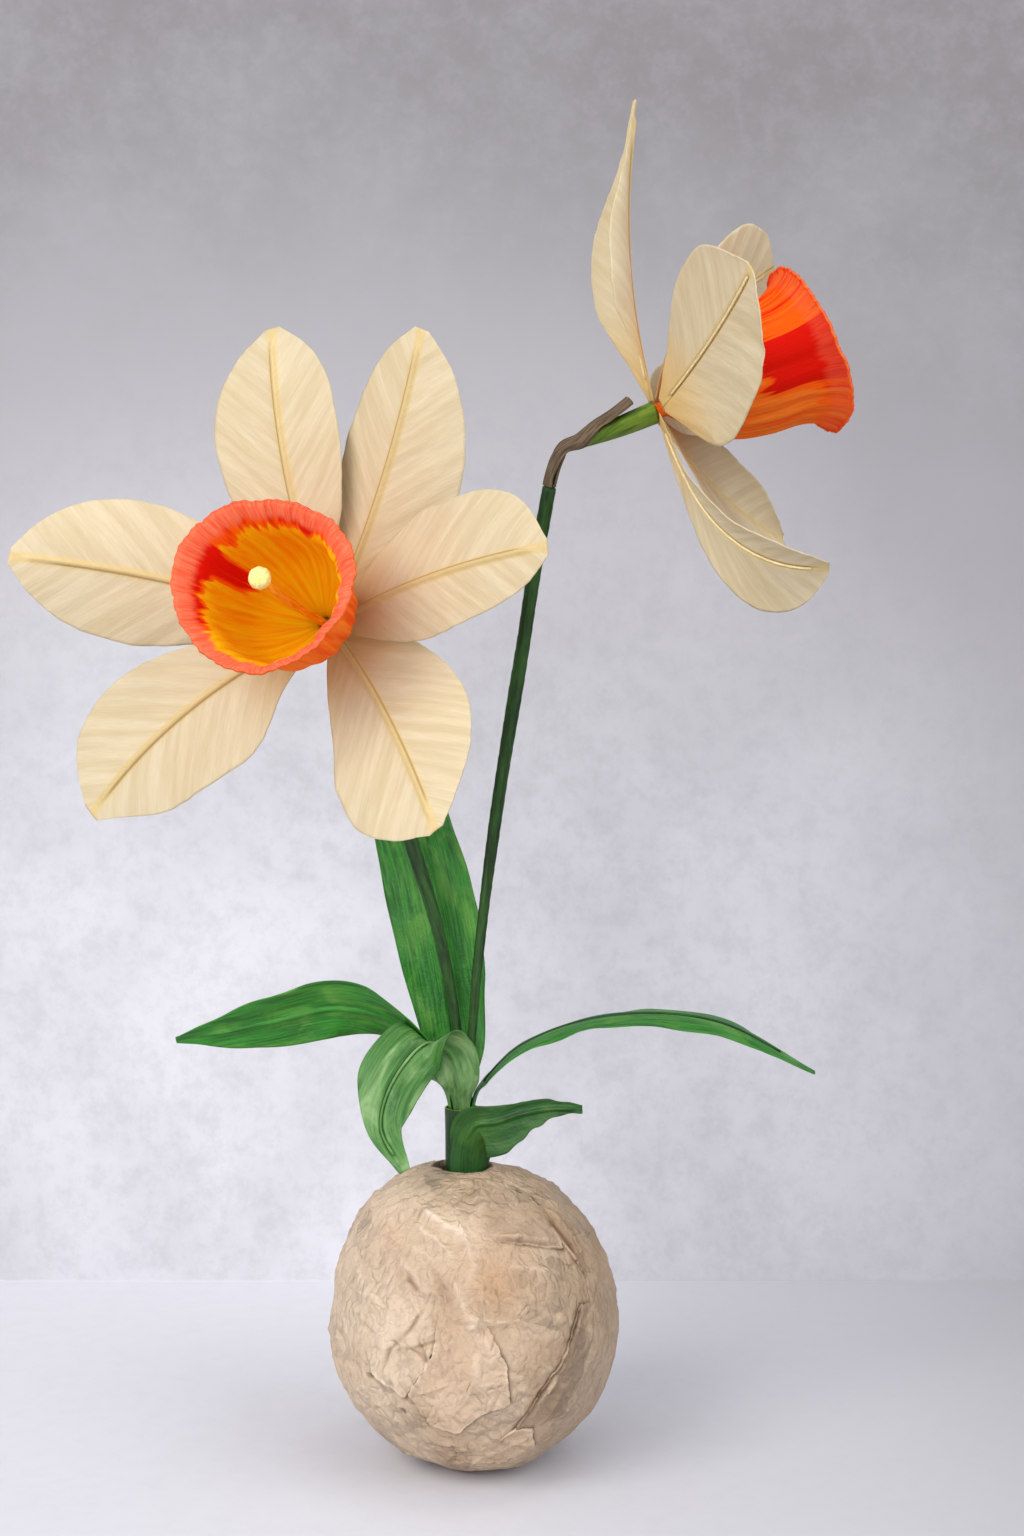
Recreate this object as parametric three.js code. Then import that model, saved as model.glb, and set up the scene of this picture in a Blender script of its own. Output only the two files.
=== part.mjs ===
// A crepe-paper daffodil with two blooms and five leaves, standing in a round kraft-paper bulb.
// Millimetres, +Z up. The origin is the middle of the flat spot that the bulb rests on.
import * as THREE from 'three';

// Clearance between neighbouring pieces, and the extra room where curved paper passes a neighbour
const clearance = 0.3;
const slack = 0.2;

// Bulb
const bulbRadius = 59;
const bulbTop = 123;
const bulbWaist = 57.5;
const bulbRestRadius = 14;
const bulbCrumple = 0.9;
const bulbCrease = 0.6;
const bulbLean = 0.8;
const bulbShoulder = 0.86;
const bulbSides = 36;
const bulbRings = 18;

// Hole in the bulb's top, and the bundle that stands in it
const holeRadius = 12.5;
const holeDepth = 20;
const bundleX = -4.5;
const bundleRadius = 5.5;

// Sheath that holds the bundle together
const sheathRadius = 7;
const sheathWall = 0.7;
const sheathTop = 146.5;
const sheathSides = 20;

// Where the blooms stand and how long their petals are
const leftBloomHeight = 343.4;
const leftBloomReach = -49.7;
const rightBloomHeight = 426.9;
const rightBloomReach = 78;
const petalLength = 115;

// How far each leaf reaches from the bundle, and how high it rises above the sheath
const rearLeaf = { reach: -38.5, rise: 166 };
const leftLeaf = { reach: -113.5, rise: 42.5 };
const frontLeaf = { reach: -31, rise: 30.5 };
const rightLeaf = { reach: 143.5, rise: 37.5 };
const lowLeaf = { reach: 48.5, rise: 4 };

// Paper thickness
const petalPaper = 0.6;
const leafPaper = 0.7;
const trumpetPaper = 0.7;
const spathePaper = 0.7;

// Wires and the ribs of paper that cover them
const petalWireRadius = 0.5;
const leafWireRadius = 0.6;
const ribHeight = 1.6;
const ribHalfWidth = 1.8;
const wireSink = 0.1;
const wireSides = 5;

// Stems
const stemFootRadius = 2;
const stemNeckRadius = 1.6;
const stemSpacing = 2.25;
const stemSides = 8;
const stemSwell = [0.25, 0.75];
const lowerStemRings = 15;
const neckRings = 9;
const neckStraight = 8;

// Ovary behind each bloom
const ovaryFrontRadius = 4.7;
const ovaryBackRadius = 2.6;
const ovaryLength = 32;
const ovaryFront = -1.6;
const ovarySwell = [[0.3, 3.6], [0.6, 4.3]];
const turnedSides = 12;
const socketDepth = 6;

// Trumpet: radius and height of its wall from the neck to the rim
const trumpetNeckRadius = 3.2;
const trumpetProfile = [
  [trumpetNeckRadius, ovaryFront + trumpetPaper / 2 + clearance],
  [3.7, 4],
  [13, 13],
  [21, 25],
  [24.5, 40],
  [25.5, 53],
  [28, 61],
  [32, 66.5],
  [34.5, 67.5],
];
const trumpetPleats = 26;
const trumpetRings = 8;
const pleatDepth = 1;
const neckPleatShare = 0.1;
const rimLobes = 3;
const rimLobeDepth = 1;
const rimLobeTurn = 0.6;

// Pistil
const stalkRadius = 1.6;
const beadRadius = 4.2;
const beadHeight = 68;
const beadSocket = 3;
const beadRings = 8;
const stalkSteps = 6;

// Petals: how far the two whorls stand apart, and where the paper starts beside the trumpet's neck
const petalStart = trumpetNeckRadius + trumpetPaper / 2 + clearance + slack;
const innerWhorlHeight = 1.5;
const outerWhorlHeight = -0.9;
const petalStations = [0, 0.2, 0.4, 0.6, 0.8, 0.92, 1];
const petalRows = 10;
const petalFoldStart = 0.3;

// Left bloom: each petal's angle round the axis, lean towards the mouth at base and tip, and half widths
const leftBloom = {
  name: 'left',
  base: [bundleX + leftBloomReach, -42, leftBloomHeight],
  axis: [-0.311, -0.927, 0.206],
  zeroAngle: [1, 0, 0],
  sway: [2.2, 2.6],
  oval: [1.03, 0.9],
  bead: [2, 4],
  petals: [
    { angle: 98, length: 0.983 * petalLength, lean: [30, -10], curl: 1, bow: 1,
      fold: [-6, 4], whorl: innerWhorlHeight,
      ccw: [3, 13, 24, 28, 24, 15, 3], cw: [3, 12, 21, 24, 21, 13, 3] },
    { angle: 64, length: 0.991 * petalLength, lean: [19, 15], curl: 1, bow: -4,
      fold: [-12, -8], whorl: outerWhorlHeight,
      ccw: [3, 13, 20, 22, 19, 12, 3], cw: [3, 14, 27, 29, 22, 14, 3] },
    { angle: 6, length: petalLength, lean: [34, 22], curl: 1, bow: 3,
      fold: [-6, -6], whorl: innerWhorlHeight,
      ccw: [3, 14, 25, 27, 25, 17, 3], cw: [3, 14, 21, 20, 16, 10, 3] },
    { angle: 306, length: petalLength, lean: [32, 22], curl: 1, bow: 4,
      fold: [-6, -6], whorl: outerWhorlHeight,
      ccw: [3, 19, 27, 30, 23, 12, 3], cw: [3, 15, 24, 31, 28, 17, 3] },
    { angle: 219, length: 0.983 * petalLength, lean: [26, -8], curl: 1, bow: -5,
      fold: [-6, 4], whorl: innerWhorlHeight,
      ccw: [3, 14, 28, 28, 22, 11, 3], cw: [3, 12, 21, 27, 26, 19, 4] },
    { angle: 168, length: 1.035 * petalLength, lean: [24, 30], curl: 1, bow: -4,
      fold: [-12, -6], whorl: outerWhorlHeight,
      ccw: [3, 13, 22, 27, 22, 13, 3], cw: [3, 13, 24, 28, 25, 16, 3] },
  ],
};

// Right bloom: seen from the side, its petals swept, folded and curled more
const rightBloom = {
  name: 'right',
  base: [bundleX + rightBloomReach, 0, rightBloomHeight],
  axis: [0.9, 0.22, 0.365],
  zeroAngle: [0, 0, 1],
  sway: [0, 0],
  oval: [1, 1],
  bead: [0, 3],
  petals: [
    { angle: 357, length: 1.035 * petalLength, lean: [6, 32], curl: 1, bow: 0,
      fold: [-38, -34], whorl: outerWhorlHeight,
      ccw: [3, 13, 20, 15, 4, 2.6, 2], cw: [3, 13, 20, 15, 4, 2.6, 2] },
    { angle: 69, length: 1.009 * petalLength, lean: [16, 2], curl: 1, bow: 0,
      fold: [-12, -8], whorl: innerWhorlHeight,
      ccw: [3, 26, 35, 32, 25, 14, 4], cw: [3, 8, 15, 24, 27, 16, 4] },
    { angle: 136, length: 0.96 * petalLength, lean: [-9, 74], curl: 2.6, bow: 0,
      fold: [-10, -10], whorl: outerWhorlHeight,
      ccw: [3, 6, 11, 21, 28, 20, 3], cw: [3, 8, 12, 16, 16, 10, 3] },
    { angle: 222, length: 0.89 * petalLength, lean: [30, 33], curl: 1, bow: 0,
      fold: [50, -10], whorl: innerWhorlHeight,
      ccw: [3, 8, 17, 19, 16, 10, 3], cw: [3, 12, 20, 24, 21, 14, 3] },
    { angle: 266, length: 0.97 * petalLength, lean: [24, 36], curl: 1, bow: 0,
      fold: [-8, -8], whorl: outerWhorlHeight,
      ccw: [3, 9, 15, 19, 18, 12, 3], cw: [3, 9, 15, 19, 18, 12, 3] },
    { angle: 307, length: 0.93 * petalLength, lean: [34, 72], curl: 1, bow: 0,
      fold: [-8, -8], whorl: innerWhorlHeight,
      ccw: [3, 12, 20, 26, 26, 21, 9], cw: [3, 12, 20, 26, 26, 21, 9] },
  ],
};

// Stems: points of their middle lines, as shares of the bloom's reach and height above the sheath, with their depth
const leftStem = {
  name: 'left',
  foot: [-1, 0.2],
  girth: 3.1,
  path: [[0.022, 2, 0.112], [0.171, 3, 0.345], [0.433, 3, 0.574], [0.654, 2, 0.782]],
};
const rightStem = {
  name: 'right',
  foot: [1, -0.2],
  girth: 2.9,
  path: [[0.047, -1.8, 0.078], [0.094, -1, 0.232], [0.186, 0, 0.435], [0.314, 0, 0.66], [0.41, 0, 0.827]],
};

// Spathe: the papery sleeve round the neck, open below where it lies along the ovary
const neckLength = 24;
const spatheOnOvary = 24;
const spatheLift = 4;
const spatheRows = 12;
const spatheColumns = 4;
const spatheHalfAngles = [165, 65];
const spatheOpening = [-6, 10];

// Leaves: where they sit in the bundle, their middle lines as shares of reach and rise with their depth,
// their edge directions and their half widths
const leaves = [
  {
    name: 'leaf_rear',
    seat: 90,
    size: rearLeaf,
    centre: [[0.065, 9, 0.133], [0.208, 13, 0.337], [0.403, 17, 0.56], [0.688, 21, 0.783], [1, 25, 1]],
    side: [[1, 0, 0.1], [1, 0, 0.25], [1, 0, 0.3], [1, 0, 0.3], [1, 0, 0.3]],
    ccw: [12, 17, 18, 13, 2],
    cw: [12, 17, 18, 13, 2],
  },
  {
    name: 'leaf_left',
    seat: 180,
    size: leftLeaf,
    centre: [[0.101, -2, 0.376], [0.216, -5, 0.812], [0.419, -9, 1], [0.7, -12, 0.871], [1, -16, 0.729]],
    side: [[-0.5, 0.6, -0.6], [-0.2, 0.7, -0.7], [0, 0.5, -0.85], [0, 0.5, -0.85], [0, 0.6, -0.8]],
    ccw: [7, 9, 14, 12, 2],
    cw: [7, 9, 15, 13, 2],
  },
  {
    name: 'leaf_front',
    seat: 270,
    size: frontLeaf,
    centre: [
      [0.016, -11, 0.443], [0.145, -13.5, 0.836], [0.435, -18, 0.984],
      [0.871, -26, 0.508], [1, -31, -0.049], [0.694, -35, -0.574],
    ],
    side: [
      [-1, 0, 0], [-1, 0, -0.1], [-1, -0.05, 0.05],
      [-0.9, -0.1, 0.35], [-0.93, 0, -0.1], [-0.95, 0, -0.3],
    ],
    ccw: [8, 12, 14, 14, 6, 2],
    cw: [8, 11, 12, 13, 9, 2],
  },
  {
    name: 'leaf_right',
    seat: 0,
    size: rightLeaf,
    centre: [[0.073, 1, 0.32], [0.178, 1, 0.693], [0.415, 0, 1], [0.714, 0, 0.947], [1, 0, 0.387]],
    side: [[0, -1, 0], [0, -1, 0], [0, -1, 0], [0, -1, -0.12], [0, -1, -0.15]],
    ccw: [7, 10, 12, 12, 2],
    cw: [7, 10, 12, 12, 2],
  },
];
const leafFold = 8;
const leafFootWidth = 3.6;
const leafEmerges = 2;
const leafUnwrap = 0.2;
const leafWireReach = [0.12, 0.95];

// Small leaf that clasps the sheath from outside and turns over to the right
const smallLeaf = {
  name: 'leaf_small',
  seat: 280,
  size: lowLeaf,
  centre: [
    [0.103, -9.6, -1.375], [0.299, -12.5, -0.75], [0.526, -15, 0.25],
    [0.753, -17, 0.875], [1, -20, 1],
  ],
  side: [[-0.7, 0, 0.7], [-0.3, 0, 1], [-0.2, 0, 1], [-0.1, 0, 1], [-0.1, 0, 1]],
  ccw: [8, 7, 5, 3.5, 1.5],
  cw: [12, 12, 8, 4, 1.5],
};
const smallLeafFoot = 112;
const smallLeafFootWidth = 6;

const leafRows = 12;
const petalWireReach = [0.08, 0.94];

const unit = (values) => new THREE.Vector3(...values).normalize();
const radians = THREE.MathUtils.degToRad;

// Value at u of a smooth curve through the stations
function smooth(stations, values, u) {
  let k = 0;
  while (k < stations.length - 2 && u > stations[k + 1]) {
    k += 1;
  }
  const slope = (i) => (values[i + 1] - values[i]) / (stations[i + 1] - stations[i]);
  const tangent = (i) => {
    if (i === 0) {
      return slope(0);
    }
    if (i === values.length - 1) {
      return slope(i - 1);
    }
    return (slope(i - 1) + slope(i)) / 2;
  };
  const width = stations[k + 1] - stations[k];
  const t = (u - stations[k]) / width;
  const rise = values[k + 1] - values[k];
  const curved = (2 * t - 3) * t * t;
  return values[k] - curved * rise
    + width * t * (1 - t) * ((1 - t) * tangent(k) - t * tangent(k + 1));
}

// Closed geometry from points and faces, turned so that its faces point out
function closedGeometry(points, faces) {
  let volume = 0;
  for (const [a, b, c] of faces) {
    volume += points[a].dot(new THREE.Vector3().crossVectors(points[b], points[c]));
  }
  const outward = volume > 0 ? faces : faces.map(([a, b, c]) => [a, c, b]);
  const geometry = new THREE.BufferGeometry().setFromPoints(points);
  geometry.setIndex(outward.flat());
  geometry.computeVertexNormals();
  return geometry;
}

// Paper of even thickness about a grid of middle points; rings close on themselves when it goes round
function paper(grid, thickness, round = false) {
  const rows = grid.length;
  const columns = grid[0].length;
  const wrap = (j) => (round ? (j + columns) % columns : THREE.MathUtils.clamp(j, 0, columns - 1));
  const normalAt = (i, j) => {
    const above = grid[Math.min(i + 1, rows - 1)][j];
    const below = grid[Math.max(i - 1, 0)][j];
    const along = new THREE.Vector3().subVectors(above, below);
    const across = new THREE.Vector3().subVectors(grid[i][wrap(j + 1)], grid[i][wrap(j - 1)]);
    return along.cross(across).normalize();
  };
  const points = [];
  for (const face of [0.5, -0.5]) {
    for (let i = 0; i < rows; i += 1) {
      for (let j = 0; j < columns; j += 1) {
        points.push(grid[i][j].clone().addScaledVector(normalAt(i, j), face * thickness));
      }
    }
  }
  const front = (i, j) => i * columns + wrap(j);
  const back = (i, j) => rows * columns + i * columns + wrap(j);
  const faces = [];
  const quad = (a, b, c, d) => faces.push([a, b, c], [a, c, d]);
  const cells = round ? columns : columns - 1;
  for (let i = 0; i < rows - 1; i += 1) {
    for (let j = 0; j < cells; j += 1) {
      quad(front(i, j), front(i, j + 1), front(i + 1, j + 1), front(i + 1, j));
      quad(back(i, j), back(i + 1, j), back(i + 1, j + 1), back(i, j + 1));
    }
  }
  for (let j = 0; j < cells; j += 1) {
    quad(front(0, j), back(0, j), back(0, j + 1), front(0, j + 1));
    quad(front(rows - 1, j), front(rows - 1, j + 1), back(rows - 1, j + 1), back(rows - 1, j));
  }
  if (!round) {
    for (let i = 0; i < rows - 1; i += 1) {
      quad(front(i, 0), front(i + 1, 0), back(i + 1, 0), back(i, 0));
      quad(front(i, cells), back(i, cells), back(i + 1, cells), front(i + 1, cells));
    }
  }
  return closedGeometry(points, faces);
}

// Rod with rings of the given radii at points along a line, closed at both ends
function rod(line, radii, sides) {
  const points = [];
  const faces = [];
  let normal = null;
  line.forEach((point, i) => {
    const ahead = line[Math.min(i + 1, line.length - 1)];
    const behind = line[Math.max(i - 1, 0)];
    const tangent = new THREE.Vector3().subVectors(ahead, behind).normalize();
    normal ??= new THREE.Vector3(0, 1, 0.2);
    normal = normal.clone().addScaledVector(tangent, -normal.dot(tangent)).normalize();
    const binormal = new THREE.Vector3().crossVectors(tangent, normal);
    for (let j = 0; j < sides; j += 1) {
      const angle = (2 * Math.PI * j) / sides;
      points.push(point.clone()
        .addScaledVector(normal, radii[i] * Math.cos(angle))
        .addScaledVector(binormal, radii[i] * Math.sin(angle)));
    }
  });
  const last = line.length - 1;
  for (let i = 0; i < last; i += 1) {
    for (let j = 0; j < sides; j += 1) {
      const next = (j + 1) % sides;
      const a = i * sides;
      const b = (i + 1) * sides;
      faces.push([a + j, a + next, b + next], [a + j, b + next, b + j]);
    }
  }
  for (let j = 1; j < sides - 1; j += 1) {
    faces.push([0, j + 1, j], [last * sides, last * sides + j, last * sides + j + 1]);
  }
  return closedGeometry(points, faces);
}

// A wired blade: place(u) gives its centre, edge direction and normal; section gives widths and folds
function bladePoint(place, section, u, part, apex) {
  const { centre, edge, normal } = place(u);
  const { width, fold } = section(u, part < 0 ? 1 : 0);
  const foot = Math.min(ribHalfWidth, 0.4 * width);
  const reach = Math.abs(part);
  const distance = reach === 0 ? 0 : [foot, (foot + width) / 2, width][reach - 1];
  const angle = radians(fold) * (distance / width);
  const across = Math.sign(part) * distance * Math.cos(angle);
  const lift = distance * Math.sin(angle) + (reach === 0 ? apex : 0);
  return centre.clone().addScaledVector(edge, across).addScaledVector(normal, lift);
}

function bladeGeometry(place, section, rows, thickness, wireReach) {
  const grid = [];
  for (let i = 0; i <= rows; i += 1) {
    const u = i / rows;
    const covered = u >= wireReach[0] - 0.5 / rows && u <= wireReach[1] + 0.5 / rows;
    const row = [];
    for (let part = 3; part >= -3; part -= 1) {
      row.push(bladePoint(place, section, u, part, covered ? ribHeight : 0));
    }
    grid.push(row);
  }
  return paper(grid, thickness);
}

function wireGeometry(place, rows, radius, wireReach) {
  const first = Math.ceil(wireReach[0] * rows);
  const last = Math.floor(wireReach[1] * rows);
  const line = [];
  for (let i = first; i <= last; i += 1) {
    const { centre, normal } = place(i / rows);
    line.push(centre.clone().addScaledVector(normal, -wireSink));
  }
  return rod(line, line.map(() => radius), wireSides);
}

const model = new THREE.Group();

function add(parent, name, geometry, material) {
  const mesh = new THREE.Mesh(geometry, material);
  mesh.name = name;
  parent.add(mesh);
  return mesh;
}

const finish = (color, roughness) => new THREE.MeshStandardMaterial({ color, roughness, metalness: 0 });
const kraft = () => finish(0xbea082, 0.9);
const cream = () => finish(0xf0e2bc, 0.85);
const leafGreen = () => finish(0x2c7030, 0.7);
const stemGreen = () => finish(0x2f6a2c, 0.75);
const coral = () => finish(0xf0562a, 0.85);

// Bulb: a crumpled ball with a flat spot below and a round hole above
function bulbGeometry() {
  const rings = [];
  const above = bulbTop - bulbWaist;
  const restAngle = Math.asin(bulbRestRadius / bulbRadius);
  const below = bulbWaist / Math.cos(restAngle);
  const holeAngle = Math.asin((holeRadius / bulbRadius) ** (1 / bulbShoulder));
  for (let i = 0; i <= bulbRings; i += 1) {
    const angle = holeAngle + ((Math.PI - restAngle - holeAngle) * i) / bulbRings;
    const upper = angle < Math.PI / 2;
    const radius = bulbRadius * Math.sin(angle) ** (upper ? bulbShoulder : 1);
    const height = bulbWaist + Math.cos(angle) * (upper ? above : below);
    rings.push({ radius, height, loose: i > 0 && i < bulbRings ? 1 : 0 });
  }
  const points = [];
  const faces = [];
  const ringAt = ({ radius, height, loose }, row) => {
    const depth = THREE.MathUtils.clamp((bulbTop - height) / above, 0, 1);
    const middle = THREE.MathUtils.lerp(bundleX, bulbLean * loose, 1 - (1 - depth) ** 3);
    for (let j = 0; j < bulbSides; j += 1) {
      const angle = (2 * Math.PI * j) / bulbSides;
      const wrinkle = Math.sin(3.7 * row + 5.3 * j) + Math.sin(2.1 * row - 3.1 * j + 1.3);
      const scale = 1 + (loose * bulbCrumple * wrinkle) / (2 * bulbRadius);
      const shift = loose * bulbCrease * Math.sin(4.1 * j + 1.7 * row);
      points.push(new THREE.Vector3(
        middle + radius * scale * Math.cos(angle),
        radius * scale * Math.sin(angle),
        height + shift,
      ));
    }
  };
  rings.forEach(ringAt);
  const floorHeight = bulbTop - holeDepth;
  for (let j = 0; j < bulbSides; j += 1) {
    const angle = (2 * Math.PI * j) / bulbSides;
    const x = bundleX + holeRadius * Math.cos(angle);
    points.push(new THREE.Vector3(x, holeRadius * Math.sin(angle), floorHeight));
  }
  const bottomMiddle = points.push(new THREE.Vector3(0, 0, 0)) - 1;
  const floorMiddle = points.push(new THREE.Vector3(bundleX, 0, floorHeight)) - 1;
  const at = (i, j) => i * bulbSides + ((j + bulbSides) % bulbSides);
  const holeFloor = bulbRings + 1;
  for (let j = 0; j < bulbSides; j += 1) {
    for (let i = 0; i < bulbRings; i += 1) {
      faces.push([at(i, j), at(i + 1, j), at(i + 1, j + 1)], [at(i, j), at(i + 1, j + 1), at(i, j + 1)]);
    }
    faces.push([at(bulbRings, j), bottomMiddle, at(bulbRings, j + 1)]);
    faces.push([at(0, j), at(0, j + 1), at(holeFloor, j + 1)]);
    faces.push([at(0, j), at(holeFloor, j + 1), at(holeFloor, j)]);
    faces.push([at(holeFloor, j), at(holeFloor, j + 1), floorMiddle]);
  }
  return closedGeometry(points, faces);
}

const footHeight = bulbTop - holeDepth + clearance;
add(model, 'bulb', bulbGeometry(), kraft());

// Sheath
function sheathGeometry() {
  const outer = sheathRadius;
  const inner = sheathRadius - sheathWall;
  const profile = [[inner, footHeight], [outer, footHeight], [outer, sheathTop], [inner, sheathTop]];
  const points = [];
  const faces = [];
  profile.forEach(([radius, height]) => {
    for (let j = 0; j < sheathSides; j += 1) {
      const angle = (2 * Math.PI * j) / sheathSides;
      points.push(new THREE.Vector3(bundleX + radius * Math.cos(angle), radius * Math.sin(angle), height));
    }
  });
  for (let i = 0; i < profile.length; i += 1) {
    for (let j = 0; j < sheathSides; j += 1) {
      const next = (j + 1) % sheathSides;
      const a = i * sheathSides;
      const b = ((i + 1) % profile.length) * sheathSides;
      faces.push([a + j, a + next, b + next], [a + j, b + next, b + j]);
    }
  }
  return closedGeometry(points, faces);
}

add(model, 'sheath', sheathGeometry(), leafGreen());

// Blooms
function bloomFrame({ base, axis, zeroAngle }) {
  const forward = unit(axis);
  const first = unit(zeroAngle);
  first.addScaledVector(forward, -first.dot(forward)).normalize();
  const second = new THREE.Vector3().crossVectors(forward, first);
  const frame = new THREE.Group();
  frame.quaternion.setFromRotationMatrix(new THREE.Matrix4().makeBasis(first, second, forward));
  frame.position.set(...base);
  frame.updateMatrixWorld(true);
  return frame;
}

// Where a petal's middle line lies: it leans more at one end than at the other, and bows sideways
function petalPlace(petal) {
  const turn = radians(petal.angle);
  const outward = new THREE.Vector3(Math.cos(turn), Math.sin(turn), 0);
  const sideways = new THREE.Vector3(-Math.sin(turn), Math.cos(turn), 0);
  const steps = 24;
  return (u) => {
    let out = petalStart;
    let up = petal.whorl;
    const leanAt = (t) => radians(THREE.MathUtils.lerp(petal.lean[0], petal.lean[1], t ** petal.curl));
    for (let k = 0; k < steps; k += 1) {
      const lean = leanAt((u * (k + 0.5)) / steps);
      out += (petal.length * u * Math.cos(lean)) / steps;
      up += (petal.length * u * Math.sin(lean)) / steps;
    }
    const lean = leanAt(u);
    const centre = outward.clone().multiplyScalar(out)
      .addScaledVector(sideways, petal.bow * 4 * u * (1 - u))
      .add(new THREE.Vector3(0, 0, up));
    const normal = new THREE.Vector3(0, 0, Math.cos(lean)).addScaledVector(outward, -Math.sin(lean));
    return { centre, edge: sideways, normal };
  };
}

function petalSection(petal) {
  return (u, half) => ({
    width: smooth(petalStations, half === 0 ? petal.ccw : petal.cw, u),
    fold: petal.fold[half] * Math.min(1, u / petalFoldStart),
  });
}

function trumpetGeometry({ sway, oval }) {
  const stations = trumpetProfile.map((point, i) => i / (trumpetProfile.length - 1));
  const radii = trumpetProfile.map((point) => point[0]);
  const heights = trumpetProfile.map((point) => point[1]);
  const columns = 2 * trumpetPleats;
  const grid = [];
  for (let i = 0; i <= trumpetRings; i += 1) {
    const u = i / trumpetRings;
    const pleat = pleatDepth * THREE.MathUtils.lerp(neckPleatShare, 1, u * u * u);
    const row = [];
    for (let j = 0; j < columns; j += 1) {
      const angle = (2 * Math.PI * j) / columns;
      const lobe = rimLobeDepth * u * u * Math.sin(rimLobes * angle + rimLobeTurn);
      const radius = smooth(stations, radii, u) + pleat * (j % 2 === 0 ? 0.5 : -0.5) + lobe;
      const [wide, high] = oval.map((squeeze) => THREE.MathUtils.lerp(1, squeeze, u * u));
      row.push(new THREE.Vector3(
        sway[0] * u * u + wide * radius * Math.cos(angle),
        sway[1] * u * u + high * radius * Math.sin(angle),
        smooth(stations, heights, u),
      ));
    }
    grid.push(row);
  }
  return paper(grid, trumpetPaper, true);
}

// Pistil: a bent stalk whose head sits in the bead's socket
function stalkPoint(bead, t) {
  const foot = ovaryFront - socketDepth + clearance;
  const head = beadHeight - beadRadius + beadSocket - clearance;
  return new THREE.Vector3(bead[0] * t * t, bead[1] * t * t, THREE.MathUtils.lerp(foot, head, t));
}

function stalkGeometry(bead) {
  const line = [];
  for (let i = 0; i <= stalkSteps; i += 1) {
    line.push(stalkPoint(bead, i / stalkSteps));
  }
  return rod(line, line.map(() => stalkRadius), stemSides);
}

function beadGeometry(bead) {
  const socket = stalkRadius + clearance;
  const mouthAngle = Math.asin(socket / beadRadius);
  const profile = [
    new THREE.Vector2(0, beadSocket - beadRadius),
    new THREE.Vector2(socket, beadSocket - beadRadius),
  ];
  for (let i = 0; i <= beadRings; i += 1) {
    const angle = mouthAngle + ((Math.PI - mouthAngle) * i) / beadRings;
    const radius = i === beadRings ? 0 : beadRadius * Math.sin(angle);
    profile.push(new THREE.Vector2(radius, -beadRadius * Math.cos(angle)));
  }
  const geometry = new THREE.LatheGeometry(profile, turnedSides);
  geometry.rotateX(Math.PI / 2);
  const head = stalkPoint(bead, 1);
  const direction = head.clone().sub(stalkPoint(bead, 1 - 1 / stalkSteps)).normalize();
  const turn = new THREE.Quaternion().setFromUnitVectors(new THREE.Vector3(0, 0, 1), direction);
  geometry.applyQuaternion(turn);
  const centre = head.addScaledVector(direction, beadRadius - beadSocket + clearance);
  geometry.translate(centre.x, centre.y, centre.z);
  return geometry;
}

function ovaryGeometry() {
  const back = ovaryFront - ovaryLength;
  const stemSocket = stemNeckRadius + clearance;
  const stalkSocket = stalkRadius + clearance;
  const profile = [
    [0, back + socketDepth],
    [stemSocket, back + socketDepth],
    [stemSocket, back],
    [ovaryBackRadius, back],
    ...ovarySwell.map(([share, radius]) => [radius, back + share * ovaryLength]),
    [ovaryFrontRadius, ovaryFront],
    [stalkSocket, ovaryFront],
    [stalkSocket, ovaryFront - socketDepth],
    [0, ovaryFront - socketDepth],
  ].map(([radius, height]) => new THREE.Vector2(radius, height));
  const geometry = new THREE.LatheGeometry(profile, turnedSides);
  geometry.rotateX(Math.PI / 2);
  return geometry;
}

function addBloom(bloom) {
  const frame = bloomFrame(bloom);
  model.add(frame);
  bloom.petals.forEach((petal, i) => {
    const name = `petal_${bloom.name}_${i + 1}`;
    const place = petalPlace(petal);
    const blade = bladeGeometry(place, petalSection(petal), petalRows, petalPaper, petalWireReach);
    add(frame, name, blade, cream());
    add(frame, `${name}_wire`, wireGeometry(place, petalRows, petalWireRadius, petalWireReach), cream());
  });
  add(frame, `trumpet_${bloom.name}`, trumpetGeometry(bloom), coral());
  add(frame, `pistil_stalk_${bloom.name}`, stalkGeometry(bloom.bead), finish(0xe8a83a, 0.8));
  add(frame, `pistil_bead_${bloom.name}`, beadGeometry(bloom.bead), finish(0xf5eb96, 0.9));
  add(frame, `ovary_${bloom.name}`, ovaryGeometry(), finish(0x5a781e, 0.75));
  return frame;
}

const leftFrame = addBloom(leftBloom);
const rightFrame = addBloom(rightBloom);

// Point on a bloom's axis, in the whole model's frame
const onAxis = (frame, height) => frame.localToWorld(new THREE.Vector3(0, 0, height));

// Stems run from the floor of the hole through the bundle to the socket in the ovary's back
function stemCurve(stem, frame) {
  const [footX, footY] = stem.foot.map((direction) => direction * stemSpacing);
  const back = ovaryFront - ovaryLength;
  const points = [
    new THREE.Vector3(bundleX + footX, footY, footHeight),
    new THREE.Vector3(bundleX + footX, footY, sheathTop),
    ...stem.path.map(([across, depth, up]) => new THREE.Vector3(
      THREE.MathUtils.lerp(bundleX, frame.position.x, across),
      depth,
      THREE.MathUtils.lerp(sheathTop, frame.position.z, up),
    )),
    onAxis(frame, back - neckStraight),
    onAxis(frame, back),
    onAxis(frame, back + socketDepth - clearance),
  ];
  return new THREE.CatmullRomCurve3(points, false, 'centripetal');
}

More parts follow.
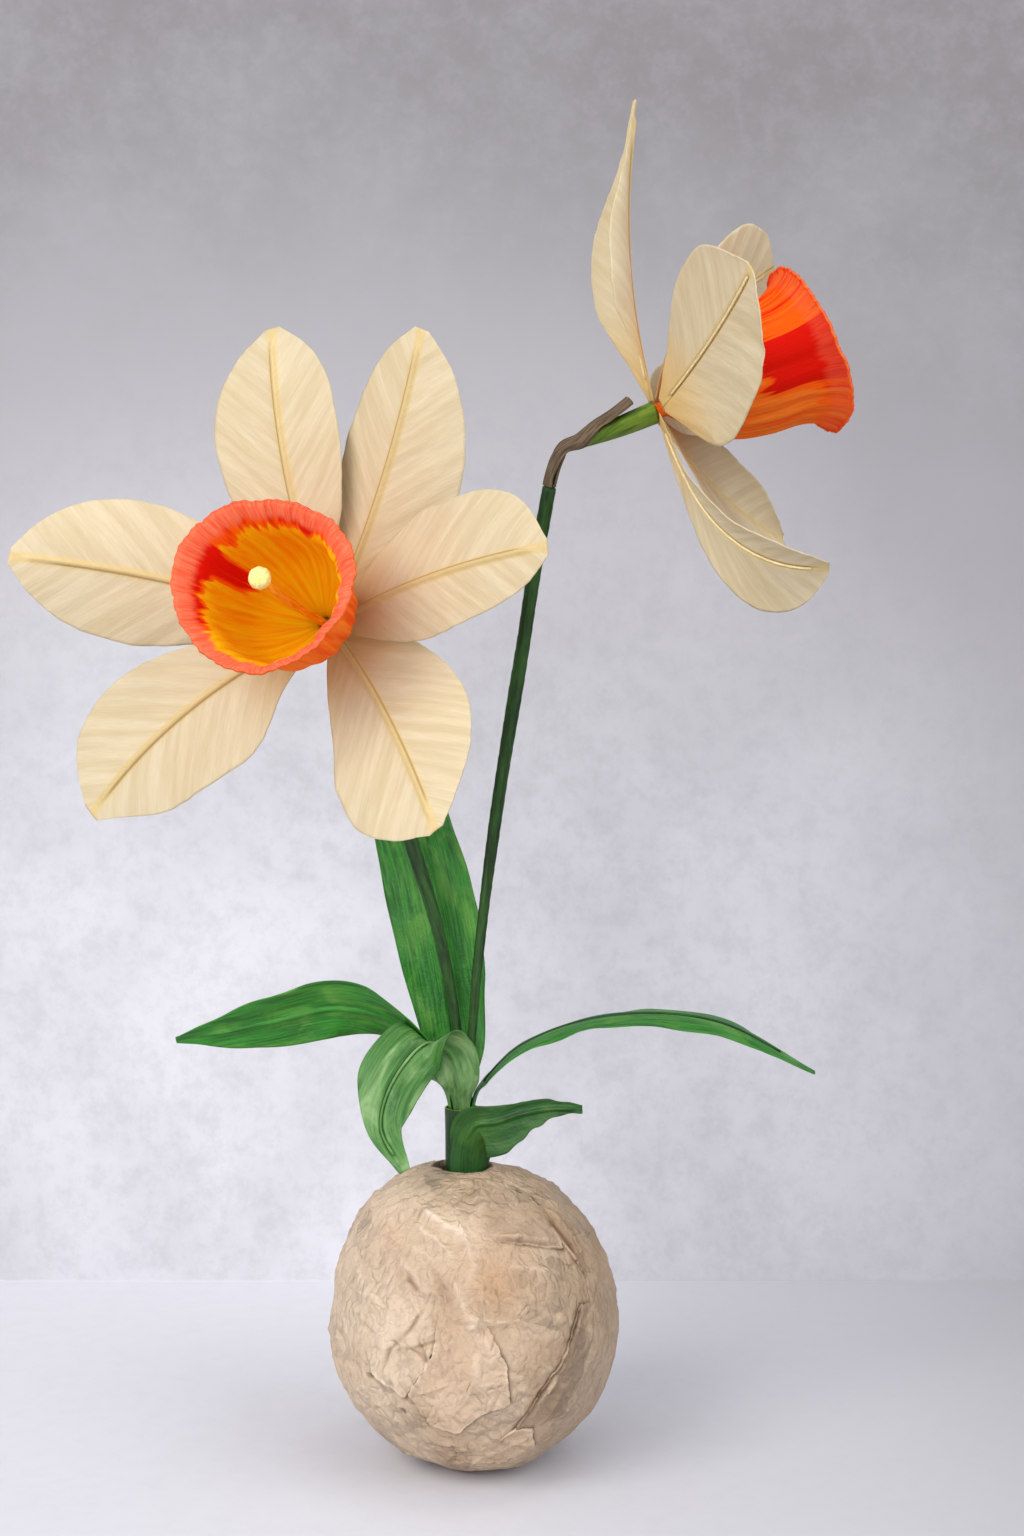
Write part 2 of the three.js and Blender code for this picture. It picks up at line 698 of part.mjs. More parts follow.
function addStem(stem, frame) {
  const curve = stemCurve(stem, frame);
  const length = curve.getLength();
  const sleeveStart = length - socketDepth + clearance - neckLength;
  const line = [];
  const radii = [];
  const ring = (distance, radius) => {
    line.push(curve.getPointAt(Math.min(1, distance / length)));
    radii.push(radius);
  };
  const shoulder = sleeveStart - 1;
  for (let i = 0; i <= lowerStemRings; i += 1) {
    const swell = THREE.MathUtils.smoothstep(i / lowerStemRings, ...stemSwell);
    ring((shoulder * i) / lowerStemRings, THREE.MathUtils.lerp(stemFootRadius, stem.girth, swell));
  }
  for (let i = 0; i <= neckRings; i += 1) {
    ring(sleeveStart + ((length - sleeveStart) * i) / neckRings, stemNeckRadius);
  }
  add(model, `stem_${stem.name}`, rod(line, radii, stemSides), stemGreen());
  return { curve, length, sleeveStart };
}

// Spathe: rows of arcs round the neck, then along the top of the ovary, rising from it
function addSpathe(stem, frame) {
  const { curve, length, sleeveStart } = addStem(stem, frame);
  const total = neckLength + spatheOnOvary;
  const grid = [];
  for (let i = 0; i <= spatheRows; i += 1) {
    const travelled = (total * i) / spatheRows;
    const alongOvary = travelled - neckLength;
    const centre = alongOvary < 0
      ? curve.getPointAt((sleeveStart + travelled) / length)
      : onAxis(frame, ovaryFront - ovaryLength + alongOvary);
    const tangent = alongOvary < 0
      ? curve.getTangentAt((sleeveStart + travelled) / length)
      : onAxis(frame, 1).sub(onAxis(frame, 0));
    const upward = new THREE.Vector3(0, 0, 1);
    upward.addScaledVector(tangent, -upward.dot(tangent)).normalize();
    const across = new THREE.Vector3().crossVectors(tangent, upward);
    const share = THREE.MathUtils.smoothstep(alongOvary, ...spatheOpening);
    const carried = THREE.MathUtils.lerp(stemNeckRadius, ovaryFrontRadius, share);
    const radius = carried + spathePaper / 2 + clearance + slack / 2;
    const halfSpan = radians(THREE.MathUtils.lerp(...spatheHalfAngles, share));
    centre.addScaledVector(upward, spatheLift * Math.max(0, alongOvary / spatheOnOvary) ** 2);
    const row = [];
    for (let j = -spatheColumns; j <= spatheColumns; j += 1) {
      const angle = (halfSpan * j) / spatheColumns;
      row.push(centre.clone()
        .addScaledVector(upward, radius * Math.cos(angle))
        .addScaledVector(across, radius * Math.sin(angle)));
    }
    grid.push(row);
  }
  add(model, `spathe_${stem.name}`, paper(grid, spathePaper), finish(0x5a4b3c, 0.85));
}

addSpathe(leftStem, leftFrame);
addSpathe(rightStem, rightFrame);

// A leaf's middle line, edge direction and normal from its points
function leafPlace(points, sides) {
  const curve = new THREE.CatmullRomCurve3(points, false, 'centripetal');
  const stations = sides.map((side, i) => i / (sides.length - 1));
  return (u) => {
    const tangent = curve.getTangent(u);
    const edge = new THREE.Vector3(
      ...[0, 1, 2].map((axis) => smooth(stations, sides.map((side) => side[axis]), u)),
    );
    edge.addScaledVector(tangent, -edge.dot(tangent)).normalize();
    return { centre: curve.getPoint(u), edge, normal: new THREE.Vector3().crossVectors(tangent, edge) };
  };
}

// Adds a leaf and its wire; its foot stands at a seat beside the stems or in front of the sheath
function addLeaf(leaf, { radius, heights, width }) {
  const outward = new THREE.Vector3(Math.cos(radians(leaf.seat)), Math.sin(radians(leaf.seat)), 0);
  const rim = [outward.y, -outward.x, 0];
  const foot = heights.map((height) => (
    new THREE.Vector3(bundleX, 0, height).addScaledVector(outward, radius)
  ));
  const blade = leaf.centre.map(([across, depth, up]) => (
    new THREE.Vector3(bundleX + across * leaf.size.reach, depth, sheathTop + up * leaf.size.rise)
  ));
  const points = [...foot, ...blade];
  const sides = [...foot.map(() => rim), ...leaf.side];
  const stations = sides.map((side, i) => i / (sides.length - 1));
  const widths = [leaf.ccw, leaf.cw].map((list) => [...foot.map(() => width), ...list]);
  const wrap = -0.5 * THREE.MathUtils.radToDeg(width / radius);
  const footEnd = (foot.length - 1) / (sides.length - 1);
  const section = (u, half) => ({
    width: smooth(stations, widths[half], u),
    fold: THREE.MathUtils.lerp(
      wrap,
      leafFold,
      THREE.MathUtils.smoothstep(u, footEnd, footEnd + leafUnwrap),
    ),
  });
  const wireReach = [footEnd + leafWireReach[0], leafWireReach[1]];
  const place = leafPlace(points, sides);
  add(model, leaf.name, bladeGeometry(place, section, leafRows, leafPaper, wireReach), leafGreen());
  add(model, `${leaf.name}_wire`, wireGeometry(place, leafRows, leafWireRadius, wireReach), stemGreen());
}

leaves.forEach((leaf) => addLeaf(leaf, {
  radius: bundleRadius,
  heights: [footHeight, (footHeight + sheathTop) / 2, sheathTop + leafEmerges],
  width: leafFootWidth,
}));
addLeaf(smallLeaf, {
  radius: sheathRadius + clearance + leafPaper / 2 + slack,
  heights: [smallLeafFoot, (smallLeafFoot + sheathTop) / 2],
  width: smallLeafFootWidth,
});

export default model;
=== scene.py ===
import math

import bpy
import numpy as np
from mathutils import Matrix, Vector


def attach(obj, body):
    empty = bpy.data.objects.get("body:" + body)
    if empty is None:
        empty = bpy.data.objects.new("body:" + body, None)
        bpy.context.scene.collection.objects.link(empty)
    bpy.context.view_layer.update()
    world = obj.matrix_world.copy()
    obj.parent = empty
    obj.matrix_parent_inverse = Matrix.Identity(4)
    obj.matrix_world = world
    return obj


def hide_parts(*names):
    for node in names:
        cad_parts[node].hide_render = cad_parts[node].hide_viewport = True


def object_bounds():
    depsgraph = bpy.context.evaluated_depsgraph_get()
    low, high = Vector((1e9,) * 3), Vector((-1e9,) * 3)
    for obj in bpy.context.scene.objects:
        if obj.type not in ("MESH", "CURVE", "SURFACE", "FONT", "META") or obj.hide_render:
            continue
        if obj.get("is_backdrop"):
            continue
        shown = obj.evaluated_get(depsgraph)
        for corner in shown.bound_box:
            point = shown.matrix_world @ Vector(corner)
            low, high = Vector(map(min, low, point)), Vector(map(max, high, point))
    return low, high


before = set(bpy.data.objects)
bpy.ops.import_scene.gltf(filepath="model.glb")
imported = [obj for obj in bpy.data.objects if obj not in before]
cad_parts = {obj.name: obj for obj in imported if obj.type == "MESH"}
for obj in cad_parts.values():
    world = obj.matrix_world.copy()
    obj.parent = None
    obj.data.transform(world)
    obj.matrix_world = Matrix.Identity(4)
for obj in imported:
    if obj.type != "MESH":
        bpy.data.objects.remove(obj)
cad_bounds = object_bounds()

MM = 0.001

# Sizes shared with the CAD, in millimetres
CLEARANCE, SLACK = 0.3, 0.2
BULB_RADIUS, BULB_TOP, BULB_WAIST, BULB_REST = 59, 123, 57.5, 14
BULB_LEAN, BULB_SHOULDER = 0.8, 0.86
BULB_ABOVE, BULB_REST_ANGLE = BULB_TOP - BULB_WAIST, math.asin(BULB_REST / BULB_RADIUS)
BULB_BELOW = BULB_WAIST / math.cos(BULB_REST_ANGLE)
BULB_MIDDLE = np.array([BULB_LEAN, 0, BULB_WAIST])
HOLE_RADIUS, HOLE_DEPTH = 12.5, 20
BUNDLE_X, BUNDLE_RADIUS = -4.5, 5.5
SHEATH_RADIUS, SHEATH_TOP = 7, 146.5
RIB_HEIGHT = 1.6
STEM_FOOT, STEM_NECK, STEM_SPACING = 2, 1.6, 2.25
OVARY_FRONT_RADIUS, OVARY_BACK_RADIUS, OVARY_LENGTH, OVARY_FRONT = 4.7, 2.6, 32, -1.6
OVARY_BACK = OVARY_FRONT - OVARY_LENGTH
SOCKET_DEPTH = 6
TRUMPET_NECK, PAPER = 3.2, 0.7
PROFILE = np.array([
    [TRUMPET_NECK, OVARY_FRONT + PAPER / 2 + CLEARANCE], [3.7, 4], [13, 13], [21, 25], [24.5, 40],
    [25.5, 53], [28, 61], [32, 66.5], [34.5, 67.5],
])
STALK_RADIUS, BEAD_RADIUS, BEAD_HEIGHT, BEAD_SOCKET = 1.6, 4.2, 68, 3
PETAL_START = TRUMPET_NECK + PAPER / 2 + CLEARANCE + SLACK
INNER, OUTER = 1.5, -0.9
PETAL_STATIONS = [0, 0.2, 0.4, 0.6, 0.8, 0.92, 1]
NECK_LENGTH, SPATHE_ON_OVARY, SPATHE_LIFT = 24, 24, 4
FOOT_HEIGHT = BULB_TOP - HOLE_DEPTH + CLEARANCE

# What is drawn is thinner than the solids, and lies this far inside or off them
PETAL_DRAWN, LEAF_DRAWN, SPATHE_DRAWN, SHEATH_DRAWN = 0.45, 0.5, 0.5, 0.6
PETAL_WIRE_DRAWN, LEAF_WIRE_DRAWN = 0.5, 0.6
INSET = 0.1
# The grain of a petal's crepe runs this many degrees out from its rib
CREPE_SLANT = 42


def petal_shape(angle, length, lean, fold, whorl, ccw, cw, bow=0, curl=1):
    """A petal's direction, length, lean at base and tip, fold of each half, height and half widths."""
    return dict(angle=angle, length=length, lean=lean, fold=fold, whorl=whorl,
                ccw=ccw, cw=cw, bow=bow, curl=curl)


# Red strokes: strength, direction and half spread in degrees, and where on the wall they begin and end
LEFT = {
    "name": "left", "base": [-54.2, -42, 343.4], "axis": [-0.311, -0.927, 0.206], "zero": [1, 0, 0],
    "sway": [2.2, 2.6], "oval": [1.03, 0.9], "bead": [2, 4],
    "strokes": [[1, 151, 12, 0.3, 0.98], [0.85, 182, 34, 0.6, 1.1], [0.7, 100, 56, 0.58, 1.1],
                [0.55, 35, 34, 0.66, 1.1], [0.5, 250, 44, 0.7, 1.1]],
    "petals": [
        petal_shape(98, 113, [30, -10], [-6, 4], INNER,
                    [3, 13, 24, 28, 24, 15, 3], [3, 12, 21, 24, 21, 13, 3], bow=1),
        petal_shape(64, 114, [19, 15], [-12, -8], OUTER,
                    [3, 13, 20, 22, 19, 12, 3], [3, 14, 27, 29, 22, 14, 3], bow=-4),
        petal_shape(6, 115, [34, 22], [-6, -6], INNER,
                    [3, 14, 25, 27, 25, 17, 3], [3, 14, 21, 20, 16, 10, 3], bow=3),
        petal_shape(306, 115, [32, 22], [-6, -6], OUTER,
                    [3, 19, 27, 30, 23, 12, 3], [3, 15, 24, 31, 28, 17, 3], bow=4),
        petal_shape(219, 113, [26, -8], [-6, 4], INNER,
                    [3, 14, 28, 28, 22, 11, 3], [3, 12, 21, 27, 26, 19, 4], bow=-5),
        petal_shape(168, 119, [24, 30], [-12, -6], OUTER,
                    [3, 13, 22, 27, 22, 13, 3], [3, 13, 24, 28, 25, 16, 3], bow=-4),
    ],
}
RIGHT = {
    "name": "right", "base": [73.5, 0, 426.9], "axis": [0.9, 0.22, 0.365], "zero": [0, 0, 1],
    "sway": [0, 0], "oval": [1, 1], "bead": [0, 3],
    "strokes": [[1.05, 92, 28, 0.4, 0.9], [0.6, 20, 60, 0.4, 1.1], [0.5, 150, 40, 0.62, 1.1],
                [0.5, 270, 80, 0.55, 1.1]],
    "petals": [
        petal_shape(357, 119, [6, 32], [-38, -34], OUTER,
                    [3, 13, 20, 15, 4, 2.6, 2], [3, 13, 20, 15, 4, 2.6, 2]),
        petal_shape(69, 108, [16, 2], [-12, -8], INNER,
                    [3, 27, 38, 38, 33, 22, 5], [3, 13, 21, 26, 23, 12, 3]),
        petal_shape(136, 110.4, [-11, 74], [-10, -10], OUTER,
                    [3, 7, 12, 21, 26, 18, 3], [3, 8, 12, 16, 16, 10, 3], curl=2.6),
        petal_shape(222, 112, [17, 40], [50, -10], INNER,
                    [3, 8, 17, 19, 16, 10, 3], [3, 14, 24, 30, 26, 16, 3]),
        petal_shape(266, 111.6, [24, 36], [-8, -8], OUTER,
                    [3, 9, 15, 19, 18, 12, 3], [3, 9, 15, 19, 18, 12, 3]),
        petal_shape(307, 100.5, [36.5, 77], [-8, -8], INNER,
                    [3, 7, 13, 21, 26, 25, 16], [3, 12, 20, 28, 30, 27, 15]),
    ],
}
# Stems: place of the foot in the bundle, half thickness where they are thickest, and points above the sheath
STEMS = {
    "left": dict(foot=[-1, 0.2], girth=3.1,
                 path=[[-5.6, 2, 168.5], [-13, 3, 214.5], [-26, 3, 259.5], [-37, 2, 300.5]]),
    "right": dict(foot=[1, -0.2], girth=2.9,
                  path=[[-0.8, -1.8, 168.5], [2.8, -1, 211.5], [10, 0, 268.5], [20, 0, 331.5],
                        [27.5, 0, 378.5]]),
}
# Leaves: direction of the foot in degrees, then centre, way across and half widths above the sheath
LEAVES = [
    dict(name="leaf_rear", seat=90,
         centre=[[-7, 9, 168.5], [-12.5, 13, 202.5], [-20, 17, 239.5], [-31, 21, 276.5], [-43, 25, 312.5]],
         side=[[1, 0, 0.1], [1, 0, 0.25], [1, 0, 0.3], [1, 0, 0.3], [1, 0, 0.3]],
         ccw=[12, 17, 18, 13, 2], cw=[12, 17, 18, 13, 2]),
    dict(name="leaf_left", seat=180,
         centre=[[-16, -2, 162.5], [-29, -5, 181], [-52, -9, 189], [-84, -12, 183.5], [-118, -16, 177.5]],
         side=[[-0.5, 0.6, -0.6], [-0.2, 0.7, -0.7], [0, 0.5, -0.85], [0, 0.5, -0.85], [0, 0.6, -0.8]],
         ccw=[7, 9, 14, 12, 2], cw=[7, 9, 15, 13, 2]),
    dict(name="leaf_front", seat=270,
         centre=[[-5, -11, 160], [-9, -13.5, 172], [-18, -18, 176.5], [-31.5, -26, 162], [-35.5, -31, 145],
                 [-26, -35, 129]],
         side=[[-1, 0, 0], [-1, 0, -0.1], [-1, -0.05, 0.05], [-0.9, -0.1, 0.35], [-0.93, 0, -0.1],
               [-0.95, 0, -0.3]],
         ccw=[8, 12, 14, 14, 6, 2], cw=[8, 11, 12, 13, 9, 2]),
    dict(name="leaf_right", seat=0,
         centre=[[6, 1, 158.5], [21, 1, 172.5], [55, 0, 184], [98, 0, 182], [139, 0, 161]],
         side=[[0, -1, 0], [0, -1, 0], [0, -1, 0], [0, -1, -0.12], [0, -1, -0.15]],
         ccw=[7, 10, 12, 12, 2], cw=[7, 10, 12, 12, 2]),
]
SMALL_LEAF = dict(name="leaf_small", seat=280,
                  centre=[[0.5, -9.6, 141], [10, -12.5, 143.5], [21, -15, 147.5], [32, -17, 150],
                          [44, -20, 150.5]],
                  side=[[-0.7, 0, 0.7], [-0.3, 0, 1], [-0.2, 0, 1], [-0.1, 0, 1], [-0.1, 0, 1]],
                  ccw=[8, 7, 5, 3.5, 1.5], cw=[14, 13, 8, 4, 1.5], feet=[8, 13])
LEAF_FOLD, LEAF_FOOT_WIDTH, LEAF_EMERGES = 8, 3.6, 2
SMALL_LEAF_FOOT, SMALL_LEAF_FOOT_WIDTH = 112, 6

# Maths


def unit(v):
    v = np.asarray(v, float)
    return v / np.maximum(np.linalg.norm(v, axis=-1, keepdims=True), 1e-12)


def lerp(a, b, t):
    return a + (b - a) * t


def ease(x, lo, hi):
    t = np.clip((np.asarray(x, float) - lo) / (hi - lo), 0, 1)
    return t * t * (3 - 2 * t)


def smooth(stations, values, u):
    s, v, u = np.asarray(stations, float), np.asarray(values, float), np.asarray(u, float)
    k = np.clip(np.searchsorted(s, u, side="left") - 1, 0, len(s) - 2)
    slope = np.diff(v) / np.diff(s)
    tangent = np.concatenate([slope[:1], (slope[:-1] + slope[1:]) / 2, slope[-1:]])
    w = s[k + 1] - s[k]
    t = (u - s[k]) / w
    rise = v[k + 1] - v[k]
    return v[k] - (2 * t - 3) * t * t * rise + w * t * (1 - t) * ((1 - t) * tangent[k] - t * tangent[k + 1])


def hashed(i, j, k, seed):
    h = (i * 73856093) ^ (j * 19349663) ^ (k * 83492791) ^ (seed * 26544357)
    for a, b in ((1103515245, 12345), (69069, 1), (1664525, 1013904223)):
        h = (h ^ (h >> 13)) & 0x7FFFFFFF
        h = (h * a + b) & 0x7FFFFFFF
    return ((h >> 7) & 0xFFFFFF) / 0x7FFFFF - 1.0


def noise(p, seed):
    """Smooth value noise from -1 to 1 at points with 3 coordinates."""
    p = np.asarray(p, float)
    base = np.floor(p).astype(np.int64)
    f = p - base
    f = f * f * f * (f * (f * 6 - 15) + 10)
    total = 0
    for dx in (0, 1):
        for dy in (0, 1):
            for dz in (0, 1):
                w = (f[..., 0] if dx else 1 - f[..., 0]) * (f[..., 1] if dy else 1 - f[..., 1])
                w = w * (f[..., 2] if dz else 1 - f[..., 2])
                total = total + w * hashed(base[..., 0] + dx, base[..., 1] + dy, base[..., 2] + dz, seed)
    return total


def stack(*parts):
    return np.stack(np.broadcast_arrays(*[np.asarray(p, float) for p in parts]), -1)


def full_turn(count):
    """Angles evenly spread round a full turn."""
    return 2 * np.pi * np.arange(count) / count


def lengths_to(line):
    """The distance along a line of points to each of them."""
    return np.concatenate([[0], np.cumsum(np.linalg.norm(np.diff(line, axis=0), axis=1))])


def catmull(points):
    """Centripetal curve through the points: returns a function of t from 0 to 1."""
    p = np.asarray(points, float)
    n = len(p)
    ends = np.vstack([2 * p[0] - p[1], p, 2 * p[-1] - p[-2]])

    def at(t):
        t = np.clip(np.atleast_1d(np.asarray(t, float)), 0, 1)
        q = (n - 1) * t
        k = np.minimum(q.astype(int), n - 2)
        w = (q - k)[:, None]
        p0, p1, p2, p3 = ends[k], ends[k + 1], ends[k + 2], ends[k + 3]
        pairs = ((p0, p1), (p1, p2), (p2, p3))
        d0, d1, d2 = (np.sqrt(np.linalg.norm(b - a, axis=1))[:, None] for a, b in pairs)
        m1 = ((p1 - p0) / d0 - (p2 - p0) / (d0 + d1) + (p2 - p1) / d1) * d1
        m2 = ((p2 - p1) / d1 - (p3 - p1) / (d1 + d2) + (p3 - p2) / d2) * d1
        return p1 + m1 * w + (-3 * p1 + 3 * p2 - 2 * m1 - m2) * w ** 2 + (2 * p1 - 2 * p2 + m1 + m2) * w ** 3

    return at


def by_length(curve):
    """The curve again, but as a function of the distance along it, and its length."""
    t = np.linspace(0, 1, 2001)
    points = curve(t)
    reached = lengths_to(points)
    return (lambda d: curve(np.interp(d, reached, t))), reached[-1]


def bloom_matrix(bloom):
    forward = unit(bloom["axis"])
    first = np.asarray(bloom["zero"], float)
    first = unit(first - first.dot(forward) * forward)
    second = np.cross(forward, first)
    return np.stack([first, second, forward]), np.asarray(bloom["base"], float)


def to_world(bloom, points):
    basis, base = bloom_matrix(bloom)
    return np.asarray(points, float) @ basis + base


# Meshes


def new_object(name, data):
    obj = bpy.data.objects.new(name, data)
    bpy.context.scene.collection.objects.link(obj)
    return obj


def make(name, points, faces, look, data):
    """A mesh object from points in millimetres, turned so that its faces point out."""
    points = np.asarray(points, float)
    mesh = bpy.data.meshes.new(name)
    volume = 0
    for group in faces:
        corners = points[np.asarray(group)]
        for k in range(1, corners.shape[1] - 1):
            volume += np.einsum("ij,ij->", corners[:, 0], np.cross(corners[:, k], corners[:, k + 1]))
    lists = []
    for group in faces:
        group = np.asarray(group)
        lists += (group if volume > 0 else group[:, ::-1]).tolist()
    mesh.from_pydata((points * MM).tolist(), [], lists)
    mesh.polygons.foreach_set("use_smooth", [True] * len(mesh.polygons))
    for key, values in data.items():
        values = np.asarray(values, np.float32)
        if values.ndim == 1:
            mesh.attributes.new(key, "FLOAT", "POINT").data.foreach_set("value", values)
        else:
            mesh.attributes.new(key, "FLOAT_VECTOR", "POINT").data.foreach_set("vector", values.ravel())
    mesh.materials.append(LOOKS[look])
    mesh.update()
    return new_object(name, mesh)


def place_on(obj, slot, *nodes):
    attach(obj, "root")
    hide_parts(*nodes)


def ahead_less_behind(rows):
    """At each row, the next row less the one before."""
    return np.concatenate([rows[1:], rows[-1:]]) - np.concatenate([rows[:1], rows[:-1]])


def grid_normals(grid, closed):
    along = ahead_less_behind(grid)
    if closed:
        across = np.roll(grid, -1, 1) - np.roll(grid, 1, 1)
    else:
        across = ahead_less_behind(grid.swapaxes(0, 1)).swapaxes(0, 1)
    return unit(np.cross(along, across))


def ring_numbers(rows, cols, start=0):
    """Point numbers of a grid that closes on itself, with its first column again at the end."""
    index = start + np.arange(rows * cols).reshape(rows, cols)
    return np.concatenate([index, index[:, :1]], 1)


def grid_faces(index):
    """Faces between the rows of a grid of point numbers."""
    return np.stack([index[:-1, :-1], index[:-1, 1:], index[1:, 1:], index[1:, :-1]], -1).reshape(-1, 4)


def sheet(name, grid, thickness, look, data, closed=False):
    """Paper about a grid of middle points. Every value in data has one entry for each grid point."""
    rows, cols = grid.shape[:2]
    normal = grid_normals(grid, closed)
    half = np.broadcast_to(np.asarray(thickness, float) / 2, (rows, cols))[..., None]
    points = np.concatenate([(grid + normal * half).reshape(-1, 3), (grid - normal * half).reshape(-1, 3)])
    index = ring_numbers(rows, cols)
    if not closed:
        index = index[:, :-1]
    n = rows * cols
    front = grid_faces(index)
    back = front[:, [0, 3, 2, 1]] + n
    edges = [(index[0], False), (index[-1], True)]
    if not closed:
        edges += [(index[:, 0], True), (index[:, -1], False)]
    rims = []
    for line, flip in edges:
        quad = np.stack([line[:-1], line[:-1] + n, line[1:] + n, line[1:]], -1)
        rims.append(quad[:, ::-1] if flip else quad)
    both = {}
    for key, values in data.items():
        values = np.asarray(values, float).reshape(n, -1)
        both[key] = np.concatenate([values, values]).squeeze()
    both["side"] = np.concatenate([np.ones(n), -np.ones(n)])
    return make(name, points, [front, back, *rims], look, both)


def tube(name, line, radii, sides, look, bulge=None):
    """A rod about a line of points. bulge(i, angle) gives what is added to the radius."""
    line = np.asarray(line, float)
    tangent = unit(ahead_less_behind(line))
    normal = np.array([0, 1, 0.2])
    angle = full_turn(sides)
    rings = []
    for i, point in enumerate(line):
        normal = unit(normal - normal.dot(tangent[i]) * tangent[i])
        binormal = np.cross(tangent[i], normal)
        radius = radii[i] + (bulge(i, angle) if bulge else 0)
        beside = (np.cos(angle) * radius)[:, None] * normal
        above = (np.sin(angle) * radius)[:, None] * binormal
        rings.append(point + beside + above)
    points = np.concatenate([*rings, line[:1], line[-1:]])
    n = len(line)
    index = ring_numbers(n, sides)
    first = np.stack([np.full(sides, n * sides), index[0, 1:], index[0, :-1]], -1)
    last = np.stack([np.full(sides, n * sides + 1), index[-1, :-1], index[-1, 1:]], -1)
    step = lengths_to(line)
    along = np.repeat(step, sides)
    around = np.tile(angle / (2 * np.pi), n)
    place = np.stack([around * 2 * np.pi * np.repeat(radii, sides), along, along / step[-1]], -1)
    place = np.concatenate([place, place[:1], place[-1:]])
    return make(name, points, [grid_faces(index), first, last], look, {"place": place})


def across_blade(half, power):
    """Places across a blade, from 1 at one edge through the rib to -1, closer together at the rib."""
    t = np.linspace(1, -1, 2 * half + 1)
    return np.sign(t) * np.abs(t) ** power


def folded(s, width, fold):
    """Distance from the rib, and how far aside and how high it comes with the halves folded up in degrees."""
    distance = np.abs(s) * width
    angle = np.radians(fold) * np.abs(s)
    return distance, np.sign(s) * distance * np.cos(angle), distance * np.sin(angle)


def add_wire(name, line, radius, look, slot):
    wire = tube(f"{name}_core", line, np.full(len(line), radius), 8, look)
    place_on(wire, slot, f"{name}_wire")


# Materials


def rgb(r, g, b):
    """A colour as it is seen, each part from 0 to 255, as the light it gives back."""
    linear = lambda c: c / 255 / 12.92 if c <= 10 else ((c / 255 + 0.055) / 1.055) ** 2.4
    return linear(r), linear(g), linear(b), 1.0


LOOKS = {}


class Look:
    """Builds one material's nodes, and keeps the material in LOOKS by name."""

    def __init__(self, name):
        self.material = LOOKS[name] = bpy.data.materials.new(name)
        self.material.use_nodes = True
        self.tree = self.material.node_tree
        self.tree.nodes.clear()

    def add(self, kind, values=None, **settings):
        node = self.tree.nodes.new("ShaderNode" + kind)
        for key, value in settings.items():
            setattr(node, key, value)
        for key, value in (values or {}).items():
            if isinstance(value, bpy.types.NodeSocket):
                self.tree.links.new(value, node.inputs[key])
            else:
                node.inputs[key].default_value = value
        return node

    def attribute(self, name, output="Vector"):
        return self.add("Attribute", attribute_name=name).outputs[output]

    def parts(self, vector):
        return self.add("SeparateXYZ", {"Vector": vector}).outputs

    def vector(self, operation, a, b, output=0):
        return self.add("VectorMath", {0: a, 1: b}, operation=operation).outputs[output]

    def scaled(self, vector, *scale):
        return self.vector("MULTIPLY", vector, scale)

    def noise(self, vector, scale=1.0, detail=2.0, roughness=0.5, distortion=0.0):
        values = {"Vector": vector, "Scale": scale, "Detail": detail}
        values.update({"Roughness": roughness, "Distortion": distortion})
        return self.add("TexNoise", values).outputs["Fac"]

    def streaks(self, vector, x, y, detail, roughness, distortion=0.0):
        """Noise with its own fineness each way, so that it is drawn out the coarser way."""
        return self.noise(self.scaled(vector, x, y, 1), 1.0, detail, roughness, distortion)

    def math(self, operation, a, b=0.0):
        return self.add("Math", {0: a, 1: b}, operation=operation).outputs[0]

    def times(self, a, b):
        return self.math("MULTIPLY", a, b)

    def plus(self, a, b):
        return self.math("ADD", a, b)

    def ramp(self, value, lo, hi, out_lo=0.0, out_hi=1.0):
        values = {"Value": value, "From Min": lo, "From Max": hi, "To Min": out_lo, "To Max": out_hi}
        return self.add("MapRange", values, interpolation_type="SMOOTHSTEP").outputs["Result"]

    def mix(self, factor, a, b):
        node = self.add("Mix", {0: factor, 6: a, 7: b}, data_type="RGBA")
        return node.outputs[2]

    def bump(self, height, distance, strength=1.0, normal=None):
        values = {"Height": height, "Distance": distance, "Strength": strength}
        if normal is not None:
            values["Normal"] = normal
        return self.add("Bump", values).outputs[0]

    def facets(self, vector, scale):
        """Flat tilted facets that meet in straight creases, in the vector's own length."""
        values = {"Vector": vector, "Scale": scale}
        cell = self.add("TexVoronoi", values).outputs
        tilt = self.vector("SUBTRACT", cell["Color"], (0.5, 0.5, 0.5))
        away = self.vector("SUBTRACT", vector, cell["Position"])
        return self.vector("DOT_PRODUCT", tilt, away, "Value")

    def finish(self, color, roughness, normal=None, see_through=0.0, glow=None, specular=0.35):
        """The surface, with a share of it that lets light through in the colour of glow."""
        values = {"Base Color": color, "Roughness": roughness, "Specular IOR Level": specular}
        if normal is not None:
            values["Normal"] = normal
        shader = self.add("BsdfPrincipled", values).outputs[0]
        if see_through:
            values = {"Color": glow}
            if normal is not None:
                values["Normal"] = normal
            behind = self.add("BsdfTranslucent", values).outputs[0]
            shader = self.add("MixShader", {0: see_through, 1: shader, 2: behind}).outputs[0]
        self.add("OutputMaterial", {"Surface": shader})


